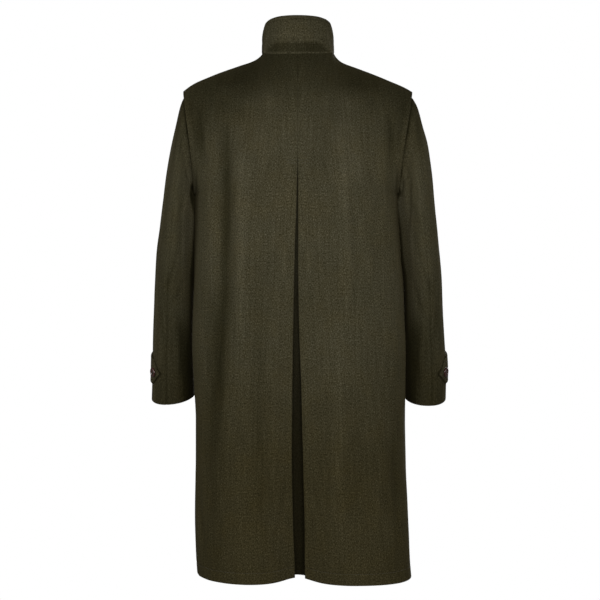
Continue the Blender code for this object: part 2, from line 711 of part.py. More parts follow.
def button(name, seat, normal):
    """A turned button, its back on the seat and its dished face along the normal."""
    shape = bmesh.new()
    profile = []
    for share, height in BUTTON_PROFILE:
        profile.append(shape.verts.new((share * BUTTON_RADIUS, 0.0, height * MM)))
    edges = [shape.edges.new(pair) for pair in zip(profile[:-1], profile[1:])]
    bmesh.ops.spin(shape, geom=profile + edges, cent=(0, 0, 0), axis=(0, 0, 1),
                   angle=2 * math.pi, steps=BUTTON_SIDES, use_merge=True)
    bmesh.ops.remove_doubles(shape, verts=shape.verts, dist=TOUCHING)
    mesh = bpy.data.meshes.new(name)
    shape.to_mesh(mesh)
    shape.free()
    thing = finish_mesh(name, "horn_button", mesh)
    up = np.array([0.0, 0.0, 1.0])
    side = np.cross(up, normal)
    side /= np.linalg.norm(side)
    rise = np.cross(normal, side)
    seat = seat + normal * SEAM_GAP
    turn = Matrix([side, rise, normal]).transposed()
    thing.matrix_world = Matrix.Translation(seat) @ turn.to_4x4()
    return thing


def sleeves():
    for side, label in ((1, "left"), (-1, "right")):
        points, normals = sleeve_rings(side)
        sleeve_piece("sleeve_top_" + label, points, normals, FOREARM_SEAM_ANGLE, HINDARM_SEAM_ANGLE,
                     TOP_SLEEVE_COLUMNS)
        sleeve_piece("sleeve_under_" + label, points, normals, HINDARM_SEAM_ANGLE,
                     360 + FOREARM_SEAM_ANGLE, UNDER_SLEEVE_COLUMNS)
        cuff_tab(side, points, normals)
        point, normal = sleeve_point(points, normals, TAB_BUTTON_ANGLE, TAB_HEIGHT_ABOVE_CUFF)
        button("cuff_button_" + label, point + normal * (TAB_SEAT + CLOTH), normal)


def front_buttons(surfaces):
    """The buttons on the wearer's left front, on the centre line, each resting on its highest point."""
    line = surfaces[1]["points"][:, 0]
    reach = np.linspace(-BUTTON_RADIUS, BUTTON_RADIUS, SEAT_STEPS)
    for index in range(FRONT_BUTTON_COUNT):
        z = FRONT_BUTTON_FIRST_Z - FRONT_BUTTON_STEP * index
        under = np.array([(0.0, np.interp(z + step, line[:, 2], line[:, 1]), z + step) for step in reach])
        along = under[-1] - under[0]
        normal = np.array([0.0, -along[2], along[1]]) / np.linalg.norm(along)
        middle = under[len(reach) // 2]
        rise = max(np.dot(under - middle, normal))
        button("front_button_%d" % (index + 1), middle + normal * (rise + BUTTON_SLACK), normal)


def build_coat():
    remove_everything()
    backs = {side: quarter_surface(side, 1) for side in (1, -1)}
    fronts = {side: quarter_surface(side, -1) for side in (1, -1)}
    for side in (1, -1):
        back_panel(backs, side)
        front_panel(fronts, side)
    pleat_underlay(backs)
    collar()
    sleeves()
    front_buttons(fronts)


build_coat()
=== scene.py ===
# %% [markdown]
# # A man's loden coat, seen from behind
# Loden is a wool cloth that is milled until it is thick and matted, then brushed so that a short nap
# runs down the coat. The cloth is stiff and soft at once: it hangs in a few long, shallow drapes and
# has hardly any sharp wrinkles. This lesson sews the coat from its real pieces: two back panels with
# a deep inverted pleat, its underlay, two fronts, a turned-up collar, four sleeve pieces, two cuff
# tabs and seven buttons.
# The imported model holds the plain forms. It is loaded first and never changed.

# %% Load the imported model
import math

import bmesh
import bpy
import numpy as np
from mathutils import Matrix, Vector, noise


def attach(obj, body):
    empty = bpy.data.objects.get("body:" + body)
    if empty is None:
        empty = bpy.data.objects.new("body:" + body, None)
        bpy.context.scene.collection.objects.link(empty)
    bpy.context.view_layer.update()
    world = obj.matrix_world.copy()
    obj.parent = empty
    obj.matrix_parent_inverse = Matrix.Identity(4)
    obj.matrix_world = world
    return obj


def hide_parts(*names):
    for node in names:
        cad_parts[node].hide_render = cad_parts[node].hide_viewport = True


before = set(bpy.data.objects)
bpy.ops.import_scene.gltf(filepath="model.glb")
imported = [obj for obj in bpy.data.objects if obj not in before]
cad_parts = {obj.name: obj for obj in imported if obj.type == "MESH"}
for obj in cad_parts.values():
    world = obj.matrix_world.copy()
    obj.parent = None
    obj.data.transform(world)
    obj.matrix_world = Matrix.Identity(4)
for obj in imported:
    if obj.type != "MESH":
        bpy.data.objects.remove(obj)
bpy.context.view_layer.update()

# %% [markdown]
# ## The pattern's sizes
# Every panel is laid out from one set of named sizes, the same ones that the solids are cut from. All
# tables are in millimetres. The origin is the middle of the neck, the back faces +Y, and the wearer's
# left is +X. Neighbouring pieces overlap a little at their seams, so no light shows between them.

# %% Sizes
MM = 0.001
CLOTH = 2.3 * MM
NECK_HALF_WIDTH, NECK_HALF_DEPTH = 75 * MM, 78 * MM
COLLAR_END_ANGLE = 171
HEM_Z, UNDERARM_Z = -1091 * MM, -290 * MM
PLEAT_TOP_Z, UNDERLAY_TOP_Z = -226 * MM, -206 * MM
SHOULDER_CORNER_X, SHOULDER_CORNER_Z = 245 * MM, -69 * MM
ARMHOLE_HALF_DEPTH, ARMHOLE_SQUARENESS, ARMHOLE_BOW = 63 * MM, 2.3, 4 * MM
SLEEVE_DEPTH_SHARE, SLEEVE_HEAD_SHARE, SLEEVE_FOOT_SHARE = 0.948, 0.905, 0.987
SLEEVE_TUCK = 6 * MM
FRONT_OVERLAP, UNDERLAP_DEPTH = 28 * MM, 3.3 * MM
SEAM_OVERLAP = 0.5 * MM
BUTTON_RADIUS = 10.5 * MM

BODY_COLUMNS = ("z", "left", "right", "back", "front", "left_square", "right_square", "gap", "drift",
                "recess")
BODY_LEVELS = (
    (-1091, 215, 239, 187, 170, 2.7, 4.2, 19.5, -4.5, 42),
    (-1045, 218, 235, 186, 169, 2.7, 3.8, 20.0, -3.5, 41),
    (-977, 220, 232, 183, 168, 2.6, 3.3, 22.5, -2.0, 38),
    (-860, 218, 228, 178, 165, 2.6, 2.8, 22.0, 0.5, 32),
    (-772, 218, 228, 174, 163, 2.6, 2.7, 19.7, 1.5, 26),
    (-702, 222, 229, 170, 161, 2.5, 2.6, 17.8, 2.0, 21),
    (-616, 226, 230, 164, 158, 2.5, 2.6, 14.0, 3.0, 14),
    (-550, 225, 228, 159, 155, 2.5, 2.5, 10.6, 3.5, 9),
    (-480, 223, 225, 154, 151, 2.5, 2.5, 8.0, 3.5, 5),
    (-424, 222, 220, 150, 148, 2.5, 2.5, 6.6, 3.0, 3),
    (-302, 220, 214, 141, 141, 2.5, 2.5, 2.4, 1.0, 0),
    (-226, 219, 212, 140, 139, 2.5, 2.5, 0.4, 0.5, 0),
    (0, 219, 212, 140, 139, 2.5, 2.5, 0.4, 0.0, 0),
)
CENTRE_COLUMNS = ("z", "depth")
CENTRE_BACK = ((-290, 140), (-226, 141), (-170, 138), (-115, 129), (-65, 113), (-28, 95), (0, 78))
CENTRE_FRONT = ((-290, 140), (-235, 139), (-180, 131), (-125, 112), (-85, 93), (-58, 78))
NECK_COLUMNS = ("angle", "seam", "top", "lean")
NECK_RING = (
    (0, 0, 80, 7), (30, 2, 80, 7), (55, 7, 78, 6), (75, 13, 73, 5), (90, 15, 67, 5),
    (110, 9, 55, 5), (130, -10, 38, 5), (150, -35, 20, 4), (165, -51, 7, 3), (180, -58, 1, 3),
)
SHOULDER_COLUMNS = ("x", "left", "right")
SHOULDER_SEAM = (
    (75, 15, 15), (83, 6, 3), (94, -1, -6), (125, -12, -18), (165, -27, -33), (205, -44, -49),
    (228, -56, -59), (245, -69, -69),
)
DRAPE_COLUMNS = ("side", "face", "x_top", "x_low", "width", "depth", "z_top", "z_low")
DRAPES = (
    (1, 1, 150, 144, 15, -6.0, -150, -620),
    (1, 1, 112, 116, 20, 4.5, -200, -640),
    (1, 1, 206, 202, 12, -3.5, -120, -300),
    (1, 1, 70, 62, 24, -3.0, -420, -1000),
    (-1, 1, 108, 112, 26, 4.5, -110, -600),
    (-1, 1, 150, 158, 20, -4.0, -180, -700),
    (-1, 1, 196, 192, 10, -4.0, -130, -330),
    (-1, 1, 70, 74, 22, 3.0, -560, -1020),
    (1, -1, 120, 130, 24, -4.0, -330, -900),
    (1, -1, 165, 172, 20, 4.0, -330, -980),
    (-1, -1, 118, 122, 24, -4.0, -360, -930),
    (-1, -1, 168, 176, 22, 4.0, -300, -960),
)
RETURN_WIDTH_COLUMNS = ("z", "width")
RETURN_WIDTHS = ((-1091, 76), (-300, 72), (-250, 50), (-205, 14), (0, 12))
# Each arm's own first four columns are in SLEEVE_EDGES, and the last four, shared by both, in
# SLEEVE_DEPTHS.
SLEEVE_COLUMNS = ("outer_x", "outer_z", "inner_x", "inner_z", "back", "front", "pitch", "swing")
SLEEVE_EDGES = {
    "left": (
        (253, -104, 228, -294), (261, -139, 227, -308), (270, -181, 225, -327), (279.5, -232, 224, -353),
        (287.5, -286, 224.5, -386), (295, -350, 225, -425), (303, -412, 225.5, -468),
        (307, -474, 226.5, -514), (311, -548, 227.5, -572), (314.5, -611, 227.5, -622),
        (317.5, -668, 226.5, -669), (321, -729, 225, -719),
    ),
    "right": (
        (256, -104, 221, -294), (265.5, -139, 220, -309), (276, -181, 218.5, -327),
        (284, -232, 219.5, -353), (290.5, -286, 221.5, -386), (298, -350, 223, -425),
        (304, -412, 227, -468), (309.5, -474, 229.5, -514), (314, -548, 231, -572),
        (319, -611, 231.5, -622), (323.5, -668, 232, -671), (324, -728, 232, -726),
    ),
}
SLEEVE_DEPTHS = (
    (65, -64, 0, 0.0), (70, -70, 0, 0.05), (74, -76, 1, 0.12), (75, -82, 2, 0.2), (74, -86, 4, 0.2),
    (70, -88, 6, 0.2), (64, -88, 8, 0.18), (56, -88, 10, 0.15), (41, -89, 12, 0.1), (25, -93, 14, 0.06),
    (8, -100, 16, 0.0), (-6, -112, 18, 0.0),
)
print("Length from neck to hem:", round(-HEM_Z / MM), "mm")

# %% [markdown]
# ## Reading the tables smoothly
# A pattern table has few rows, and the cloth runs smoothly between them. A monotone cubic curve passes
# through each row and never overshoots it, so a narrow gap stays a gap.

# %% Table helpers
def column(names, rows, name):
    return np.array([row[names.index(name)] for row in rows], dtype=float)


def smooth_lookup(names, rows, name, value):
    keys = column(names, rows, names[0])
    order = np.argsort(keys)
    keys, heights = keys[order], column(names, rows, name)[order]
    rises = np.diff(heights) / np.diff(keys)
    same_way = rises[:-1] * rises[1:] > 0
    blended = 2 * rises[:-1] * rises[1:] / np.where(same_way, rises[:-1] + rises[1:], 1.0)
    slopes = np.concatenate([rises[:1], np.where(same_way, blended, 0.0), rises[-1:]])
    value = np.clip(value, keys[0], keys[-1])
    index = np.clip(np.searchsorted(keys, value) - 1, 0, len(keys) - 2)
    span = keys[index + 1] - keys[index]
    t = (value - keys[index]) / span
    first = (2 * t**3 - 3 * t**2 + 1) * heights[index] + (t**3 - 2 * t**2 + t) * span * slopes[index]
    second = (3 * t**2 - 2 * t**3) * heights[index + 1] + (t**3 - t**2) * span * slopes[index + 1]
    return first + second


def body_size(name, z):
    return smooth_lookup(BODY_COLUMNS, BODY_LEVELS, name, z / MM)


def ease(low, high, value):
    """A soft step from 0 to 1."""
    t = np.clip((value - low) / (high - low), 0.0, 1.0)
    return t * t * (3 - 2 * t)


def hump(value, centre, width):
    """A soft hump of height 1 round a centre."""
    return np.exp(-((value - centre) / width) ** 2)


def line_lengths(points):
    """How far along a line each of its points lies."""
    return np.concatenate([[0.0], np.cumsum(np.linalg.norm(np.diff(points, axis=0), axis=1))])


def grid_lengths(grid, axis):
    """How far each point of a grid lies from its first row or column, measured on the cloth."""
    steps = np.linalg.norm(np.diff(grid, axis=axis), axis=2)
    return np.insert(np.cumsum(steps, axis=axis), 0, 0.0, axis=axis)


def read_line(wanted, lengths, values):
    """The values of a line's points, read at the wanted distances along it."""
    return np.stack([np.interp(wanted, lengths, values[:, axis]) for axis in range(3)], axis=1)


def resample(points, shares):
    lengths = line_lengths(points)
    return read_line(np.asarray(shares) * lengths[-1], lengths, points)


def unit(vectors):
    return vectors / np.maximum(np.linalg.norm(vectors, axis=-1, keepdims=True), 1e-9)


def grid_normals(grid, closed=False):
    along = np.gradient(grid, axis=0)
    across = (np.roll(grid, -1, axis=1) - np.roll(grid, 1, axis=1)) if closed else np.gradient(grid, axis=1)
    return unit(np.cross(across, along))


print("Width of the left half at the underarm:", round(float(body_size("left", UNDERARM_Z))), "mm")

# %% [markdown]
# ## The body's surface
# Below the arms, the coat is a stack of rounded level sections. Above them, each row is blended from
# four edges: the centre line, the armhole, the row below and the neck and shoulder seam above. The
# camera side and the hidden side are made by the same functions.

# %% Body sections
DENSE_SHARES = np.linspace(0.0, 1.0, 141)
UNDERARM_HOLD = 4
HEM_EASE_HEIGHT = 150 * MM
HEM_RISE, HEM_RISE_REACH = 9 * MM, 34 * MM
RECESS_REACH = 66 * MM
FRONT_SQUARENESS = 2.5
CENTRE_COLUMN = len(DENSE_SHARES) - 1


def hem_lift(x, z, face):
    near_pleat = hump(x, 0.0, HEM_RISE_REACH) if face > 0 else 0.0 * x
    return HEM_RISE * near_pleat * (1.0 - ease(HEM_Z, HEM_Z + HEM_EASE_HEIGHT, z))


def level_section(z, side, face):
    width = body_size("left" if side > 0 else "right", z) * MM
    depth = body_size("back" if face > 0 else "front", z) * MM
    square = body_size("left_square" if side > 0 else "right_square", z)
    square = square if face > 0 else FRONT_SQUARENESS
    angle = np.linspace(0.0, math.pi / 2, 481)
    x = width * np.sin(angle) ** (2 / square)
    y = depth * np.cos(angle) ** (2 / square)
    if face > 0:
        y = y - body_size("recess", z) * MM * hump(x, 0.0, RECESS_REACH)
    return resample(np.stack([side * x, face * y, z + hem_lift(x, z, face)], axis=1), DENSE_SHARES)


def neck_point(angle, name="seam"):
    radians = math.radians(angle)
    height = smooth_lookup(NECK_COLUMNS, NECK_RING, name, abs(angle)) * MM
    return np.array([NECK_HALF_WIDTH * math.sin(radians), NECK_HALF_DEPTH * math.cos(radians), height])


def yoke_top(side, face):
    angles = np.linspace(0, 90, 49) if face > 0 else np.linspace(180, 90, 49)
    neck = [neck_point(angle) for angle in angles]
    name = "left" if side > 0 else "right"
    seam = [np.array([x, 0.0, smooth_lookup(SHOULDER_COLUMNS, SHOULDER_SEAM, name, x / MM) * MM])
            for x in np.linspace(NECK_HALF_WIDTH, SHOULDER_CORNER_X, 90)[1:]]
    points = np.array(neck + seam)
    points[:, 0] *= side
    return resample(points, DENSE_SHARES)


def armhole_x(reach, side):
    underarm_x = body_size("left" if side > 0 else "right", UNDERARM_Z) * MM
    return side * (underarm_x + (SHOULDER_CORNER_X - underarm_x) * reach
                   - ARMHOLE_BOW * math.sin(math.pi * reach))


def armhole_point(share, side, face):
    reach = 0.5 * (1 - math.cos(math.pi * share))
    offset = abs(2 * reach - 1)
    y = ARMHOLE_HALF_DEPTH * (1 - offset**ARMHOLE_SQUARENESS) ** (1 / ARMHOLE_SQUARENESS)
    return np.array([armhole_x(reach, side), face * y,
                     UNDERARM_Z + (SHOULDER_CORNER_Z - UNDERARM_Z) * reach])


def yoke_row(share, side, face, bottom, top):
    table = CENTRE_BACK if face > 0 else CENTRE_FRONT
    z = UNDERARM_Z + (table[-1][0] * MM - UNDERARM_Z) * share
    centre = np.array([0.0, face * smooth_lookup(CENTRE_COLUMNS, table, "depth", z / MM) * MM, z])
    edge = armhole_point(share, side, face)
    u = ease(0.0, 1.0, DENSE_SHARES)[:, None] ** (1 + UNDERARM_HOLD * (1 - share) ** 2)
    rails = (1 - share) * bottom + share * top
    corners = ((1 - u) * ((1 - share) * bottom[0] + share * top[0])
               + u * ((1 - share) * bottom[-1] + share * top[-1]))
    return rails + (1 - u) * centre + u * edge - corners


print("The left armhole is", round(2 * ARMHOLE_HALF_DEPTH / MM), "mm deep and",
      round((SHOULDER_CORNER_Z - UNDERARM_Z) / MM), "mm high")

# %% [markdown]
# ## Drapes and creases
# The long drapes are in the imported solids too. The scene adds what a solid doesn't need: shallow
# creases placed one by one, each with its own path, width and depth, so that no two are alike.
# A positive depth stands out as a ridge and a negative one sinks as a trough. A crease is soft on one
# side and steeper on the other, and it dies away at both of its ends.

# %% Crease helpers
# Painted shade that darkens the tops of the shoulders.
SHOULDER_FALL, SHOULDER_SHADE = 0.37, 10.2
SHOULDER_SHADE_LOW, SHOULDER_SHADE_HIGH = -170 * MM, 10 * MM


def drape_depth(points, side, face):
    x, z = np.abs(points[..., 0]) / MM, points[..., 2] / MM
    total = np.zeros_like(x)
    for row in DRAPES:
        drape = dict(zip(DRAPE_COLUMNS, row))
        if (drape["side"], drape["face"]) == (side, face):
            middle = np.interp(z, (drape["z_low"], drape["z_top"]), (drape["x_low"], drape["x_top"]))
            start, stop = drape["z_low"], drape["z_top"]
            fade = ease(start - 60, start + 140, z) * (1 - ease(stop - 70, stop + 30, z))
            total += drape["depth"] * fade * hump(x, middle, drape["width"])
    return total * MM


def crease(a, b, path, width, depth, far_width=None):
    """The depth that one crease adds at the places (a, b); its path is a list of such places."""
    best = np.full(a.shape, 1e9)
    share = np.zeros(a.shape)
    hand = np.zeros(a.shape)
    count = len(path) - 1
    for index, ((a0, b0), (a1, b1)) in enumerate(zip(path[:-1], path[1:])):
        da, db = a1 - a0, b1 - b0
        length = math.hypot(da, db)
        t = np.clip(((a - a0) * da + (b - b0) * db) / length**2, 0, 1)
        off_a, off_b = a - a0 - t * da, b - b0 - t * db
        distance = np.hypot(off_a, off_b)
        nearer = distance < best
        best = np.where(nearer, distance, best)
        share = np.where(nearer, (index + t) / count, share)
        hand = np.where(nearer, np.sign(off_a * db - off_b * da), hand)
    spread = np.where(hand > 0, width, far_width or width)
    swell = np.sin(math.pi * np.clip(share, 0.0, 1.0)) ** 0.7
    return depth * MM * swell * hump(best, 0.0, spread)


def add_creases(a, b, rows):
    total = np.zeros(a.shape)
    for row in rows:
        total += crease(a, b, *row)
    return total


def shoulder_painted_shade(points):
    """Painted shade: the cloth is painted darker towards the tops of the shoulders, where less light falls.
    """
    up = points[..., 2] + SHOULDER_FALL * np.abs(points[..., 0])
    return -SHOULDER_SHADE * ease(SHOULDER_SHADE_LOW, SHOULDER_SHADE_HIGH, up) ** 0.85


def cloth_life(points, size, depth, seed):
    """Slow unevenness of the cloth: soft noise of one feature size, stretched along the drop."""
    flat = points.reshape(-1, 3)
    offset = Vector((seed * 7.1, seed * 3.7, seed * 1.3))
    values = [noise.noise(Vector((p[0] / size, p[1] / size, p[2] / (2.4 * size))) + offset) for p in flat]
    return np.array(values).reshape(points.shape[:-1]) * depth


# %% [markdown]
# ### Creases of the body
# Each row is a path of (x, z) places in millimetres, a width, a depth and, where it differs, the
# width on its other side. The first list is the back and the second is the front.

# %% Body creases
BACK_CREASES = (
    # wearer's left: the deep drape beside the blade and what hangs from it
    (((148, -140), (149, -300), (153, -450), (158, -610), (164, -790)), 9, -5.2, 13),
    (((117, -150), (116, -330), (118, -500), (115, -680)), 10, 3.0, 15),
    (((180, -170), (182, -290), (180, -400), (184, -520)), 12, 2.6, 17),
    (((203, -100), (206, -150), (199, -205), (186, -262)), 6, -2.6, 10),
    (((90, -470), (85, -640), (80, -810), (66, -1010)), 13, -3.0, 16),
    (((52, -480), (44, -690), (41, -880), (44, -1050)), 12, 2.0, 14),
    (((160, -700), (157, -800), (163, -920), (158, -1030)), 18, 2.2, 14),
    (((124, -720), (118, -850), (122, -970), (117, -1065)), 14, 2.0, 20),
    (((206, -885), (203, -950), (196, -1010), (187, -1080)), 5, -3.4, 9),
    (((213, -870), (211, -950), (206, -1020), (199, -1085)), 6, 2.2, 5),
    (((60, -125), (64, -210), (58, -300)), 17, 1.5, 22),
    # wearer's right
    (((-92, -95), (-97, -240), (-100, -400), (-106, -580)), 10, 2.2, 15),
    (((-112, -140), (-116, -300), (-121, -470), (-117, -620)), 8, -2.9, 11),
    (((-146, -150), (-147, -310), (-150, -470), (-156, -650)), 12, 4.2, 16),
    (((-189, -125), (-197, -180), (-202, -240), (-196, -310)), 7, -2.8, 10),
    (((-58, -520), (-63, -700), (-58, -870), (-66, -1020)), 15, -2.2, 19),
    (((-86, -600), (-90, -740), (-84, -890), (-92, -1040)), 13, 2.2, 17),
    (((-122, -680), (-128, -820), (-121, -940), (-130, -1060)), 12, -2.2, 17),
    (((-158, -720), (-165, -850), (-160, -960), (-168, -1070)), 16, 2.2, 12),
    (((-196, -780), (-202, -890), (-207, -985), (-212, -1080)), 7, -2.8, 11),
    (((-222, -780), (-226, -900), (-229, -1000), (-231, -1085)), 6, 1.6, 6),
    # across the shoulder blades
    (((-170, -84), (-110, -108), (-50, -104), (0, -98)), 12, 1.5, 19),
    (((20, -96), (70, -110), (120, -104), (178, -84)), 11, 1.7, 20),
    (((-176, -60), (-140, -66), (-100, -50)), 10, -1.6, 14),
    (((100, -42), (136, -58), (174, -56)), 9, -1.7, 13),
)
FRONT_CREASES = (
    (((58, -300), (66, -470), (61, -640), (70, -800)), 15, -1.5, 21),
    (((104, -210), (99, -330), (108, -480), (101, -610)), 13, 1.6, 18),
    (((146, -250), (153, -400), (147, -560), (156, -700)), 12, -1.7, 16),
    (((185, -330), (190, -520), (183, -700), (192, -860)), 10, 1.5, 14),
    (((86, -760), (92, -870), (85, -980), (94, -1080)), 14, 1.8, 19),
    (((138, -800), (131, -900), (140, -1000), (134, -1085)), 13, -1.8, 15),
    (((196, -110), (200, -160), (193, -215), (186, -270)), 6, -1.8, 9),
    (((-60, -320), (-67, -500), (-59, -680), (-71, -850)), 16, 1.4, 20),
    (((-110, -230), (-104, -380), (-113, -520), (-107, -660)), 12, -1.6, 17),
    (((-155, -280), (-149, -420), (-158, -590), (-150, -740)), 13, 1.5, 15),
    (((-190, -360), (-184, -540), (-193, -700), (-188, -880)), 9, -1.4, 13),
    (((-92, -780), (-85, -900), (-95, -1000), (-88, -1085)), 14, -1.7, 18),
    (((-146, -820), (-153, -920), (-147, -1010), (-156, -1085)), 12, 1.7, 16),
    (((-192, -115), (-196, -165), (-191, -220), (-184, -275)), 6, -1.7, 10),
)
# Painted shade and painted light: flat patches where the cloth is painted darker or paler than it is.
BACK_PAINTED_SHADING = (
    (((173, -480), (167, -650), (166, -850), (172, -1120)), 27, -8.8, 27),
    (((205, -470), (204, -640), (206, -800)), 11, 3.0, 14),
    (((-96, -66), (-93, -160), (-97, -280)), 28, 4.5, 34),
    (((60, -60), (72, -140), (66, -250)), 24, 2.0, 30),
    (((-206, -620), (-204, -800), (-208, -1000)), 12, -3.0, 16),
)
FRONT_PAINTED_SHADING = (
    (((-80, -500), (-84, -760), (-78, -1000)), 24, -5.0, 30),
    (((120, -160), (126, -320), (118, -470)), 26, 4.0, 34),
)
HEM_STITCH_HEIGHT = 23 * MM
STITCH_SINK = 0.55 * MM
STITCH_SINK_WIDTH = 1.7 * MM
PUCKER = 0.5 * MM
ARMHOLE_LIP = 1.6 * MM
print(len(BACK_CREASES), "creases on the back and", len(FRONT_CREASES), "on the front")

# %% [markdown]
# ## One strip round each half of the body
# The back and the front are each held as a strip of rows. Along a row, places are counted as real
# distances from the centre line, so a panel can be cut from the strip as from a bolt of cloth.

# %% Build the strips
HEM_STEPS = (0, 1.2, 3, 6, 10, 14.5, 18.5, 20.8, 22, 23, 24, 25.2, 27.5, 31, 36)
LEVELS = np.concatenate([HEM_Z + np.array(HEM_STEPS) * MM,
                         np.linspace(HEM_Z + 41 * MM, UNDERARM_Z, 146)[:-1]])
YOKE_SHARES = np.concatenate([np.linspace(0, 0.95, 70), (0.965, 0.98, 0.991, 1.0)])
YOKE_SMOOTHING = 80
FRONT_CREASE_STRENGTH = 1.6
SLOW_WAVE, SLOW_WAVE_DEPTH = 75 * MM, 1.5 * MM
FINE_WAVE, FINE_WAVE_DEPTH = 28 * MM, 0.35 * MM
HEM_PUCKER_SIZE, HEM_PUCKER_REACH = 11 * MM, 34 * MM
LIP_WIDTH, LIP_HOLLOW_INSET, LIP_HOLLOW_SHARE = 7 * MM, 16 * MM, 0.9
LIP_LOW_Z, LIP_TOP_Z = -125 * MM, -85 * MM
CENTRE_QUIET_WIDTH = 6 * MM


def quarter(side, face):
    rows = [level_section(z, side, face) for z in LEVELS]
    bottom, top = level_section(UNDERARM_Z, side, face), yoke_top(side, face)
    base = np.array(rows + [yoke_row(share, side, face, bottom, top) for share in YOKE_SHARES])
    yoke = base[len(LEVELS):]
    hold = (1 - YOKE_SHARES ** 6)[:, None, None]
    for _ in range(YOKE_SMOOTHING):
        between = 0.25 * yoke[:, :-2] + 0.5 * yoke[:, 1:-1] + 0.25 * yoke[:, 2:]
        yoke[:, 1:-1] += hold * (between - yoke[:, 1:-1])
    flip = -side * face
    drape = drape_depth(base, side, face)
    base = base + grid_normals(base) * flip * drape[..., None]
    x, z = base[..., 0] / MM, base[..., 2] / MM
    if face > 0:
        extra = add_creases(x, z, BACK_CREASES)
    else:
        extra = FRONT_CREASE_STRENGTH * add_creases(x, z, FRONT_CREASES)
    extra += cloth_life(base, SLOW_WAVE, SLOW_WAVE_DEPTH, 1 + face)
    extra += cloth_life(base, FINE_WAVE, FINE_WAVE_DEPTH, 4 + face)
    up = base[..., 2] - HEM_Z - hem_lift(np.abs(base[..., 0]), base[..., 2], face)
    extra -= STITCH_SINK * hump(up, HEM_STITCH_HEIGHT, STITCH_SINK_WIDTH)
    puckers = cloth_life(base * np.array([1, 1, 0.4]), HEM_PUCKER_SIZE, PUCKER, 9)
    extra += puckers * hump(up, 0.0, HEM_PUCKER_REACH)
    above = (base[:, -1, 2] > UNDERARM_Z)[:, None]
    to_edge = np.linalg.norm(base - base[:, -1:], axis=2)
    lip = hump(to_edge, 0.0, LIP_WIDTH) - LIP_HOLLOW_SHARE * hump(to_edge, LIP_HOLLOW_INSET, LIP_WIDTH)
    extra += above * (1 - ease(LIP_LOW_Z, LIP_TOP_Z, base[:, -1:, 2])) * ARMHOLE_LIP * lip
    quiet = ease(0.0, CENTRE_QUIET_WIDTH, np.abs(base[..., 0]))
    base = base + grid_normals(base) * flip * (extra * quiet)[..., None]
    normals = grid_normals(base) * flip
    below = base[:, -1, 2] <= UNDERARM_Z + 1 * MM
    normals[below, -1, 1] = 0.0
    normals[:, 0, 0] = 0.0
    # Painted shade and painted light: the flat patches and the darker tops of the shoulders.
    painted_shading = add_creases(x, z, BACK_PAINTED_SHADING if face > 0 else FRONT_PAINTED_SHADING) / MM + shoulder_painted_shade(base)
    return base, unit(normals), (drape + extra * quiet) / MM + painted_shading


def strip(face):
    points, normals, relief = [np.concatenate([right[:, :0:-1], left], axis=1)
                               for right, left in zip(quarter(-1, face), quarter(1, face))]
    lengths = grid_lengths(points, 1)
    return points, normals, lengths - lengths[:, [CENTRE_COLUMN]], relief


def read_strip(cloth, distances):
    """Points, normals and relief of every row at that row's distances from the centre line."""
    points, normals, lengths, relief = cloth
    out_points = np.empty(distances.shape + (3,))
    out_normals = np.empty(distances.shape + (3,))
    out_relief = np.empty(distances.shape)
    for row in range(len(points)):
        out_points[row] = read_line(distances[row], lengths[row], points[row])
        out_normals[row] = read_line(distances[row], lengths[row], normals[row])
        out_relief[row] = np.interp(distances[row], lengths[row], relief[row])
    return out_points, unit(out_normals), out_relief


back_strip = strip(1)
front_strip = strip(-1)
row_z = back_strip[0][:, CENTRE_COLUMN, 2]
print("Each strip has", back_strip[0].shape[0], "rows of", back_strip[0].shape[1], "points")

# %% [markdown]
# ## From a grid to a piece of cloth
# Every panel starts as Blender's own grid, whose points are moved onto the worked-out places. Its UV
# map is in real metres along and across the cloth, so the nap lies the right way on every piece. A
# Solidify modifier gives the cloth its thickness, inward only, and a small Bevel rounds its cut or
# folded edges. The relief of each point goes with it as an attribute: its height in millimetres above
# or below the plain form, with painted shades and painted lights added. From it the material paints
# shade into troughs and recesses and light onto ridges.

# %% Cloth piece helper
collection = bpy.context.scene.collection
EDGE_STEPS, EDGE_ANGLE = 2, 60


def finished_mesh(name, shape, material=None):
    mesh = bpy.data.meshes.new(name)
    shape.to_mesh(mesh)
    shape.free()
    if material:
        mesh.materials.append(material)
    return mesh


def finish_object(name, mesh, node_names):
    thing = bpy.data.objects.new(name, mesh)
    collection.objects.link(thing)
    mesh.shade_smooth()
    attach(thing, "root")
    if node_names:
        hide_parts(*node_names)
    return thing


